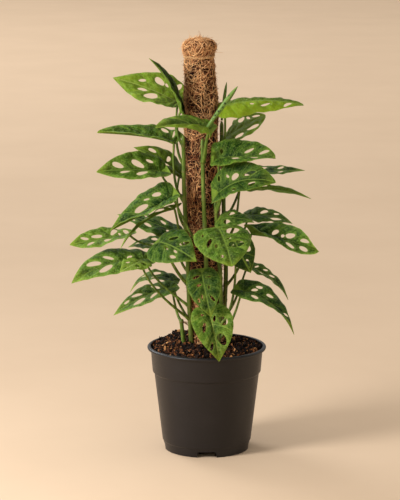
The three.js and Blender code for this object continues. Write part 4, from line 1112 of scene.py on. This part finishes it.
def rolled_material():
    """The pale back of a new leaf, with the ends of its windows along the roll painted as dark spots of
    shade.
    """
    s = Shader("rolled_leaf")
    flat = s.vector("flat")
    streak = s.noise(s.stretched(flat, (0.08, 0.6, 1)), 1.0, 3, 0.6)
    colour = s.ramp(streak, [(0.3, (78, 112, 34)), (0.52, (112, 144, 60)), (0.72, (158, 182, 102))])
    # Painted shade: dark spots where the windows would show the shaded inside of the roll.
    dots = s.cells(s.stretched(flat, (0.22, 0.16, 0)), 1.0)
    dark = s.math("MULTIPLY", s.range(dots, 0.3, 0.42, 1, 0), s.range(streak, 0.4, 0.5, 0.4, 1))
    colour = s.mix(s.math("MULTIPLY", dark, 0.9), colour, (16, 36, 6))
    s.set(Base_Color=colour, Roughness=0.45, Normal=s.bump(streak, 0.4, 0.0008))
    s.tissue(0.12, (0.4, 1.0, 0.2))
    s.set(Specular_IOR_Level=0.25)
    return s.material


def add_rolled(material):
    for name, leaf in ROLLED.items():
        piece(f"rolled_{name}", make_rolled(leaf), material, [f"leaf_rolled_{name}"])


# The pole

POLE_FOOT, POLE_HEAD = np.array(POLE["foot"], float), np.array(POLE["head"], float)
POLE_LENGTH = np.linalg.norm(POLE_HEAD - POLE_FOOT)
POLE_AXIS = (POLE_HEAD - POLE_FOOT) / POLE_LENGTH
POLE_ACROSS = np.array([POLE_AXIS[2], 0, -POLE_AXIS[0]])
POLE_BACK = np.array([0.0, 1.0, 0.0])


def pole_axis_at(height):
    return POLE_FOOT + POLE_AXIS * (height - POLE_FOOT[2]) / POLE_AXIS[2]


def on_pole(radius, angle, height):
    """Points round the pole, from their radius, their angle and their height above the mix."""
    radius, angle, height = (np.asarray(v, float)[..., None] for v in (radius, angle, height))
    spoke = np.cos(angle) * POLE_ACROSS + np.sin(angle) * POLE_BACK
    return POLE_FOOT + POLE_AXIS * height + spoke * radius


def waist_and_cap(from_head):
    """How far the sleeve is drawn in under the twine, kept slim below it, and rounded off at its top."""
    waist = WAIST["depth"] * bell(from_head - TIE["below"], WAIST["height"])
    slim = WAIST["slim"] * smoothstep(18, 30, from_head) * smoothstep(95, 60, from_head)
    depth = CAP["depth"]
    rise = np.clip(depth + CAP["sunk"] - from_head, 0, depth) / (1.05 * depth)
    return waist + slim + CAP["inset"] * (1 - np.sqrt(1 - rise**2))


def sleeve_lumps(height, angle):
    """How far the matted fibre stands out, fading off at the top."""
    lumps = 0.8 * np.sin(3 * angle + height / 17) + 0.6 * np.sin(5 * angle - height / 9)
    lumps += 0.5 * np.sin(height / 13) + 0.45 * np.sin(7 * angle + height / 3.1) * np.sin(height / 4.3)
    return lumps * smoothstep(5, 14, POLE_LENGTH - height)


def sleeve_radius(height, angle):
    """Bulging at the head, drawn in under the twine, and lumpy with matted fibre."""
    return POLE["radius"] - waist_and_cap(POLE_LENGTH - height) + sleeve_lumps(height, angle)


def sleeve_profile():
    """The sleeve's profile, from under the mix to the middle of its top: heights, radii, and way along it."""
    top = POLE_LENGTH - CAP["sunk"]
    rounded_part = top - CAP["depth"] * (1 - np.linspace(0, 1, 30)) ** 2
    heights = np.concatenate([np.arange(-12, top - CAP["depth"], 1.5), rounded_part])
    from_head = POLE_LENGTH - heights
    radii = POLE["radius"] - waist_and_cap(from_head)
    inner = np.linspace(radii[-1], 0, 8)[1:]
    radii = np.concatenate([radii, inner])
    heights = np.concatenate([heights, top + 0.6 * (1 - (inner / inner[0]) ** 2)])
    way = np.concatenate([[0], np.cumsum(np.hypot(np.diff(radii), np.diff(heights)))])
    return heights, radii, way


PROFILE_HEIGHTS, PROFILE_RADII, PROFILE_WAY = sleeve_profile()


def on_sleeve(way, angle, lift):
    """Points that far along the sleeve's profile, at that angle, and that far off its surface."""
    over = way > PROFILE_WAY[-1]
    way = np.where(over, 2 * PROFILE_WAY[-1] - way, way)
    angle = np.where(over, angle + math.pi, angle)
    height = np.interp(way, PROFILE_WAY, PROFILE_HEIGHTS)
    radius = np.interp(way, PROFILE_WAY, PROFILE_RADII)
    slope = np.gradient(PROFILE_RADII, PROFILE_WAY)
    rise = np.gradient(PROFILE_HEIGHTS, PROFILE_WAY)
    outward = np.interp(way, PROFILE_WAY, rise)
    upward = -np.interp(way, PROFILE_WAY, slope)
    lumps = sleeve_lumps(height, angle)
    return on_pole(radius + lumps + lift * outward, angle, height + lift * upward)


def make_mat():
    """The sleeve's felted body under its loose strands, painted nearly black as painted shade in the gaps
    between them.
    """
    around = 120
    way = np.linspace(0, PROFILE_WAY[-1], 330)
    angle = np.arange(around) * TAU / around
    ways, angles = np.meshgrid(way, angle, indexing="ij")
    points = on_sleeve(ways, angles, np.full(ways.shape, -POLE["mat_depth"])).reshape(-1, 3)
    rough = wobble(points, 2.6, 3) * 0.45 + wobble(points, 7, 4) * 0.4
    points = on_sleeve(ways, angles, rough.reshape(ways.shape) - POLE["mat_depth"]).reshape(-1, 3)
    walls = ring_walls(np.arange(len(way) - 1)[:, None] * around, around)
    here = np.arange(around)
    ends = [here[None, ::-1], (here + (len(way) - 1) * around)[None]]
    # Painted shade: the mat's tone is kept near the dark end, for the shade deep between the strands.
    tone = 0.1 + 0.07 * wobble(points, 3, 6)
    return mesh_from("coir_mat", (points, [walls, *ends]), {"tone": tone})


# The loose fibres on the sleeve. lift is the lowest and highest way off it, loose is how far the ends stray,
# and tones is the middle of their tones and how far these spread.
STRANDS = {
    "coir_strands": {
        "count": 2600,
        "steps": 11,
        "length": (10, 34),
        "thickness": (0.4, 0.75),
        "lift": (-2.4, 0.2),
        "loose": 0.5,
        "tones": (0.46, 0.4),
        "seed": 21,
    },
    "coir_hairs": {
        "count": 3200,
        "steps": 9,
        "length": (8, 30),
        "thickness": (0.2, 0.4),
        "lift": (-1.2, 0.8),
        "loose": 1.8,
        "tones": (0.7, 0.36),
        "seed": 22,
    },
    "coir_light_strands": {
        "count": 520,
        "steps": 10,
        "length": (8, 26),
        "thickness": (0.4, 0.65),
        "lift": (-0.2, 0.7),
        "loose": 0.6,
        "tones": (0.98, 0.1),
        "seed": 23,
    },
}


def strands(count, steps, length, thickness, lift, loose, tones, seed):
    """Fibres wandering over the sleeve, and their tones."""
    sides = 3
    draw = np.random.default_rng(seed)
    way = draw.uniform(0, PROFILE_WAY[-1] + 4, count)
    angle = draw.uniform(0, TAU, count)
    heading = draw.uniform(0, TAU, count)
    turn = draw.normal(0, 0.15, count)
    step = draw.uniform(*length, count) / (steps - 1)
    low, high = lift
    rise = draw.uniform(low, high, count)
    phase, beat = draw.uniform(0, TAU, count), draw.uniform(0.4, 1.3, count)
    stray = draw.exponential(loose, count)
    lines = []
    for k in range(steps):
        ripple = 0.8 * np.sin(phase + beat * k)
        end = abs(2 * k / (steps - 1) - 1)
        lines.append(on_sleeve(way, angle, rise + ripple + stray * end**3))
        heading += turn + draw.normal(0, 0.22, count)
        way = way + step * np.cos(heading)
        radius = np.maximum(np.interp(way, PROFILE_WAY, PROFILE_RADII), 5)
        angle = angle + step * np.sin(heading) / radius
    lines = np.stack(lines, axis=1)
    taper = 1 - 0.65 * np.abs(np.linspace(-1, 1, steps)) ** 4
    radii = draw.uniform(*thickness, count)[:, None] * taper
    tone = np.clip(draw.normal(*tones, count), 0, 1)
    return tubes(lines, radii, sides), {"tone": np.repeat(tone, steps * sides)}


def add_pole(coir, pale):
    piece("coir_mat", make_mat(), coir, ["pole_sleeve"])
    for name, facts in STRANDS.items():
        shape, values = strands(**facts)
        piece(name, mesh_from(name, shape, values), coir)
    add_pale_strands(pale)
    add_twine(pale)


def add_pale_strands(material):
    """Thicker, bleached strands, each a route of (angle in degrees, height above the mix) points."""
    steps, sides, tone = 24, 5, 0.72
    routes = [
        [(-77, 434), (-92, 422), (-102, 419), (-116, 415)],
        [(-89, 403), (-87, 394), (-87, 383), (-78, 376), (-64, 367)],
        [(-144, 392), (-126, 383), (-104, 380)],
        [(-133, 397), (-117, 403), (-99, 404), (-90, 399), (-97, 391), (-118, 390)],
        [(-110, 340), (-96, 330), (-80, 334), (-66, 322)],
        [(-60, 290), (-76, 280), (-92, 284), (-104, 270)],
        [(60, 400), (84, 388), (96, 372), (120, 366)],
        [(150, 330), (166, 318), (186, 322), (200, 306)],
        [(20, 250), (40, 238), (66, 240), (80, 226)],
        [(100, 180), (120, 168), (140, 172), (160, 158)],
    ]
    lines = []
    for route in routes:
        angle, height = spline(route, steps).T
        angle = np.radians(angle)
        lift = 0.8 + 0.5 * np.sin(np.linspace(0, 3 * math.pi, steps))
        lines.append(on_pole(sleeve_radius(height, angle) + lift, angle, height))
    lines = np.array(lines)
    lines += 0.5 * wobble(lines, 4, 8)[..., None]
    thickness = 0.62 - 0.03 * np.arange(len(routes))[:, None]
    radii = thickness * (1 - 0.6 * np.abs(np.linspace(-1, 1, steps)) ** 4)
    values = {"tone": np.full(len(lines) * steps * sides, tone)}
    mesh = mesh_from("coir_pale_strands", tubes(lines, radii, sides), values)
    piece("coir_pale_strands", mesh, material)


def twine_turns():
    """Turns of two-ply twine round the waist."""
    steps = 520
    t = np.linspace(0, 1, steps)
    angle = math.pi / 2 + TAU * TIE["turns"] * t
    height = POLE_LENGTH - TIE["below"] - 0.6 + 2.6 * t + np.sin(angle) + 0.35 * np.sin(5 * angle)
    radius = sleeve_radius(height, angle) + TIE["radius"] + 0.3
    lines = []
    for phase in (0, math.pi):
        twist = TAU * TIE["turns"] * TIE["twists"] * t + phase
        aside, above = TIE["ply_off"] * np.cos(twist), TIE["ply_off"] * np.sin(twist)
        lines.append(on_pole(radius + aside, angle, height + above))
    return tubes(lines, np.full((len(lines), steps), TIE["ply"]), 6)


def twine_ends():
    """The two loose ends that hang from the knot."""
    steps = 60
    t = np.linspace(0, 1, steps)
    lines = []
    for side in (-1, 1):
        angle = math.pi / 2 + side * (0.05 + 0.42 * t)
        height = POLE_LENGTH - TIE["below"] + 2 - 16 * t**1.4
        radius = sleeve_radius(height, angle) + 2.2 + 2.2 * np.sin(math.pi * t)
        for phase in (0, math.pi):
            twist = TAU * 4 * t + phase
            lines.append(on_pole(radius + 0.5 * np.cos(twist), angle + 0.02 * np.sin(twist), height))
    return tubes(lines, np.full((len(lines), steps), TIE["ply"]), 6)


def twine_knot():
    """The knot at the back, a small trefoil."""
    steps, size, thickness = 90, (1.5, 1.5, 1.3), 0.95
    t = np.linspace(0, TAU, steps)
    loop = np.stack([np.sin(t) + 2 * np.sin(2 * t), np.cos(t) - 2 * np.cos(2 * t), -np.sin(3 * t)], axis=1)
    waist = POLE_LENGTH - TIE["below"]
    centre = on_pole(sleeve_radius(waist, math.pi / 2) + 3, math.pi / 2, waist + 1)
    line = centre + (loop * size)[:, [0, 2, 1]]
    return tubes(line[None], np.full((1, steps), thickness), 8)


def add_twine(material):
    """Twine round the waist, tied at the back."""
    shape = joined([twine_turns(), twine_ends(), twine_knot()])
    tone = 0.5 + 0.14 * wobble(shape[0], 3, 9)
    piece("coir_twine", mesh_from("coir_twine", shape, {"tone": tone}), material, ["pole_tie"])


# The potting mix


def heap_at(x, y):
    """How much of the heap there is at a place, 1 at its middle."""
    return bell(np.hypot(x - HEAP["at"][0], y - HEAP["at"][1]), HEAP["spread"])


def soil_height(x, y):
    """The height of the mix: domed, heaped and bumpy."""
    bumps = np.sin(x / 5.1 + 1.3 * np.sin(y / 7)) * np.cos(y / 4.7 + x / 11)
    dome = SOIL["crown"] * (1 - (x * x + y * y) / SOIL["radius"] ** 2)
    return SOIL["edge"] + dome + HEAP["height"] * heap_at(x, y) + SOIL["bump"] * bumps


def make_mix():
    """The mix's whole body inside the pot, with a crumbly top."""
    inside_wall = [
        (0, FLOOR["pad_height"] + GAP),
        (FLOOR["pad_radius"] - 2.4, FLOOR["pad_height"] + GAP),
        (FLOOR["pad_radius"] - 0.4, FLOOR["height"] + GAP),
        (FLOOR["radius"] - GAP, FLOOR["height"] + GAP),
        (POT["below"] - POT["wall"] - GAP, STEP["height"] - 1),
        (POT["above"] - POT["wall"] - GAP, STEP["height"] + STEP["rise"] + 0.5),
        (SOIL["radius"] + 0.3, SOIL["edge"] - 2),
    ]
    top = [(r, SOIL["edge"]) for r in np.linspace(SOIL["radius"], 0, 64)]
    points, polygons = lathe([*inside_wall, *top], 180)
    x, y, z = points.T
    on_top = z > SOIL["edge"] - 1
    crumble = 1.1 * wobble(points, 3.4, 31) + 0.9 * wobble(points, 8, 32)
    points[:, 2] = np.where(on_top, soil_height(x, y) - 1.2 + crumble, z)
    return mesh_from("mix", (points, polygons))


def scattered(count, draw, least):
    """Points of the mix's top, even over its area, no nearer to its middle than least."""
    radius = np.sqrt(draw.uniform(least**2, (SOIL["radius"] - 1.5) ** 2, count))
    angle = draw.uniform(0, TAU, count)
    x, y = radius * np.cos(angle), radius * np.sin(angle)
    return np.stack([x, y, soil_height(x, y)], axis=1)


def turned_any_way(shapes, draw):
    """Each shape of an array (shapes, points, 3) turned by a random rotation."""
    q = unit(draw.normal(size=(len(shapes), 4)))
    w, x, y, z = q.T
    turns = np.stack([
        np.stack([1 - 2 * (y * y + z * z), 2 * (x * y - z * w), 2 * (x * z + y * w)], -1),
        np.stack([2 * (x * y + z * w), 1 - 2 * (x * x + z * z), 2 * (y * z - x * w)], -1),
        np.stack([2 * (x * z - y * w), 2 * (y * z + x * w), 1 - 2 * (x * x + y * y)], -1),
    ], axis=1)
    return np.einsum("nij,nkj->nki", turns, shapes)


BLOCK = np.array([(x, y, z) for z in (-1, 1) for y in (-1, 1) for x in (-1, 1)], float)
BLOCK_FACES = np.array([(0, 2, 3, 1), (4, 5, 7, 6), (0, 1, 5, 4), (2, 6, 7, 3), (0, 4, 6, 2), (1, 3, 7, 5)])


CHIPS = [
    {"count": 2600, "sizes": (4.0, 10.5), "flatness": (0.12, 0.32), "seed": 41},
    {"count": 3600, "sizes": (1.4, 3.6), "flatness": (0.3, 0.7), "seed": 42},
]


def chips(count, sizes, flatness, seed):
    """Loose chips: splinters of random proportions, lying every way on the mix and piled up on its heap."""
    draw = np.random.default_rng(seed)
    size = draw.uniform(*sizes, count)
    width, height = draw.uniform(0.18, 0.5, count), draw.uniform(*flatness, count)
    stretch = np.stack([np.ones(count), width, height], axis=1)
    shapes = BLOCK[None] * (size[:, None] * stretch)[:, None] / 2
    shapes = shapes * (1 + draw.uniform(-0.34, 0.34, shapes.shape))
    shapes = turned_any_way(shapes, draw)
    centres = scattered(count, draw, 18)
    heap = heap_at(centres[:, 0], centres[:, 1])
    centres[:, 2] += draw.uniform(-1, 1.8, count) + draw.uniform(0, 3.5, count) * heap
    points = (shapes + centres[:, None]).reshape(-1, 3)
    from_middle = np.hypot(points[:, 0], points[:, 1])
    points[:, :2] *= np.minimum(1, (SOIL["radius"] - 0.3) / from_middle)[:, None]
    faces = (BLOCK_FACES[None] + 8 * np.arange(count)[:, None, None]).reshape(-1, 4)
    tone = np.clip(draw.normal(0.38, 0.3, count), 0, 1)
    return (points, [faces]), np.repeat(tone, 8)


def mix_fibres(count, seed):
    """Curled coir fibres among the chips, and their tones."""
    steps, sides = 8, 3
    draw = np.random.default_rng(seed)
    start = scattered(count, draw, 20)
    heading, turn = draw.uniform(0, TAU, count), draw.normal(0, 0.5, count)
    step, rise = draw.uniform(0.8, 2.0, count), draw.uniform(0.6, 3, count)
    x, y = start[:, 0], start[:, 1]
    lines = []
    for k in range(steps):
        inside_pot = np.minimum(1, (SOIL["radius"] - 1) / np.maximum(np.hypot(x, y), 1))
        x, y = x * inside_pot, y * inside_pot
        lift = rise * np.sin(math.pi * (k + 0.5) / steps)
        lines.append(np.stack([x, y, soil_height(x, y) + lift], axis=1))
        heading = heading + turn
        x, y = x + step * np.cos(heading), y + step * np.sin(heading)
    lines = np.stack(lines, axis=1)
    radii = np.repeat(draw.uniform(0.22, 0.5, count), steps).reshape(count, steps)
    tone = np.clip(draw.normal(0.68, 0.22, count), 0, 1)
    return tubes(lines, radii, sides), np.repeat(tone, steps * sides)


def add_soil(mix, chip):
    piece("mix_body", make_mix(), mix, ["soil"])
    shapes, tones = zip(*[chips(**facts) for facts in CHIPS])
    mesh = mesh_from("mix_chips", joined(shapes), {"tone": np.concatenate(tones)}, smooth=False)
    piece("mix_chips", mesh, chip)
    shape, tone = mix_fibres(1300, 43)
    piece("mix_fibres", mesh_from("mix_fibres", shape, {"tone": tone}), chip)
    add_twig(chip)


def add_twig(material):
    """A dark twig leaning out of the heap behind the left stems."""
    steps, sides, tone = 16, 7, 0.22
    line = spline([(-20, 40, 150), (-21, 40, 160), (-23.5, 40, 170), (-24, 40, 177)], steps)
    shape = tubes(line[None], np.linspace(1.3, 0.8, steps)[None], sides)
    mesh = mesh_from("mix_twig", shape, {"tone": np.full(steps * sides, tone)})
    piece("mix_twig", mesh, material)


# The pot


def pot_profile():
    """The pot's section, closed: underside, outside, lip, inside and floor."""
    foot, below, above, lip, rim = (POT[key] for key in ("foot", "below", "above", "lip", "rim"))
    height, wall, step, rise = POT["height"], POT["wall"], STEP["height"], STEP["rise"]
    floor, pad, corner = FLOOR["height"], FLOOR["pad_radius"], 0.9
    ceiling = floor - 2
    under = [(pad - 0.5, 0), (pad + 1.5, ceiling), (foot - 5.5, ceiling), (foot - 3.7, 0)]
    outside = [(foot, 0), (foot + 1.5, 12), (foot + 2.9, 13.4), (below, step), (above, step + rise)]
    edge = [(lip, height - 4.8), (rim - 0.6, height - 4.2), (rim, height - 1.6), (rim - 1.8, height)]
    inside_wall = [(lip + 0.2, height), (above - wall, step + rise + 0.5), (below - wall, step - 1)]
    middle = [(FLOOR["radius"], floor), (pad, floor), (pad - 2, FLOOR["pad_height"])]
    curve = rounded([*under, *outside, *edge, *inside_wall, *middle], corner)
    return np.concatenate([[(0, 0)], curve, [(0, FLOOR["pad_height"])]])


def pot_cutters():
    """The foot's notches and the floor's drain holes, as one shape to take away."""
    shapes = []
    for k in range(NOTCH["count"]):
        size = np.array([NOTCH["width"], NOTCH["depth"], 2 * NOTCH["height"]])
        points = BLOCK * size / 2 - (0, POT["foot"], 0)
        shapes.append((turned_about_z(points, TAU * k / NOTCH["count"]), [BLOCK_FACES]))
    for k in range(DRAIN["count"]):
        line = np.array([(DRAIN["ring"], 0, FLOOR["height"] - 5), (DRAIN["ring"], 0, FLOOR["height"] + 5)])
        points, polygons = tubes(line[None], np.full((1, 2), DRAIN["radius"]), 32)
        shapes.append((turned_about_z(points, TAU * (k + 0.5) / DRAIN["count"]), polygons))
    return joined(shapes)


def turned_about_z(points, angle):
    x, y, z = points.T
    cos, sin = math.cos(angle), math.sin(angle)
    return np.stack([x * cos - y * sin, x * sin + y * cos, z], axis=1)


def add_pot(material):
    """The turned pot, less its notches and drain holes."""
    pot = placed("pot_blank", mesh_from("pot_blank", lathe(pot_profile(), 180)))
    cutter = placed("pot_cutter", mesh_from("pot_cutter", pot_cutters()))
    taken = pot.modifiers.new("notches", "BOOLEAN")
    taken.operation = "DIFFERENCE"
    taken.object = cutter
    ready = pot.evaluated_get(bpy.context.evaluated_depsgraph_get())
    mesh = bpy.data.meshes.new_from_object(ready)
    for thing in (pot, cutter):
        bpy.data.objects.remove(thing)
    mesh.polygons.foreach_set("use_smooth", np.full(len(mesh.polygons), True))
    mesh.set_sharp_from_angle(angle=math.radians(40))
    mesh.materials.clear()
    piece("nursery_pot", mesh, material, ["pot"])


# The stage


def add_camera():
    data = bpy.data.cameras.new("camera")
    data.lens = CAMERA["lens"]
    data.sensor_width = CAMERA["sensor"]
    data.clip_start, data.clip_end = CAMERA_CLIP
    camera = aimed("camera", data, CAMERA)
    bpy.context.scene.camera = camera


def add_area(name, facts):
    """A round, soft lamp."""
    data = bpy.data.lights.new(name, "AREA")
    data.shape = "DISK"
    data.size = facts["size"]
    data.energy = facts["power"]
    data.color = facts["colour"]
    aimed(name, data, facts)


def add_sky():
    world = bpy.data.worlds.new("sky")
    world.use_nodes = True
    background = world.node_tree.nodes["Background"]
    background.inputs["Color"].default_value = (*SKY["colour"], 1)
    background.inputs["Strength"].default_value = SKY["strength"]
    bpy.context.scene.world = world


def add_floor(material):
    """A pale disc, large enough to fill the view behind the plant from every side."""
    reach, sides, drop = 40000, 96, 0.2
    angle = np.arange(sides) * TAU / sides
    points = np.stack([reach * np.cos(angle), reach * np.sin(angle), np.full(sides, -drop)], axis=1)
    floor = placed("floor", mesh_from("floor", (points, [np.arange(sides)[None]])))
    floor.data.materials.append(material)


def number_leaves():
    """Gives each leaf its number, which its random values follow, and the windows listed for it."""
    for number, (name, leaf) in enumerate(LEAVES.items(), start=1):
        leaf["seed"] = number
        if name in WINDOWS:
            leaf["windows"] = WINDOWS[name]


def main():
    number_leaves()
    bpy.context.scene.view_settings.view_transform = "Standard"
    add_camera()
    add_sky()
    add_area("key", KEY)
    add_area("wash", WASH)
    add_floor(floor_material())
    add_pot(pot_material())
    add_soil(soil_material(), chip_material())
    coir = coir_material("coir", (30, 12, 6), (144, 80, 45), (244, 188, 128))
    pale = coir_material("pale_coir", (104, 70, 42), (172, 126, 82), (222, 178, 124))
    add_pole(coir, pale)
    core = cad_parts["pole_core"]
    core.data.materials.clear()
    core.data.materials.append(wood_material())
    add_vines(stem_material(), root_material())
    add_blades(blade_material())
    add_rolled(rolled_material())


main()
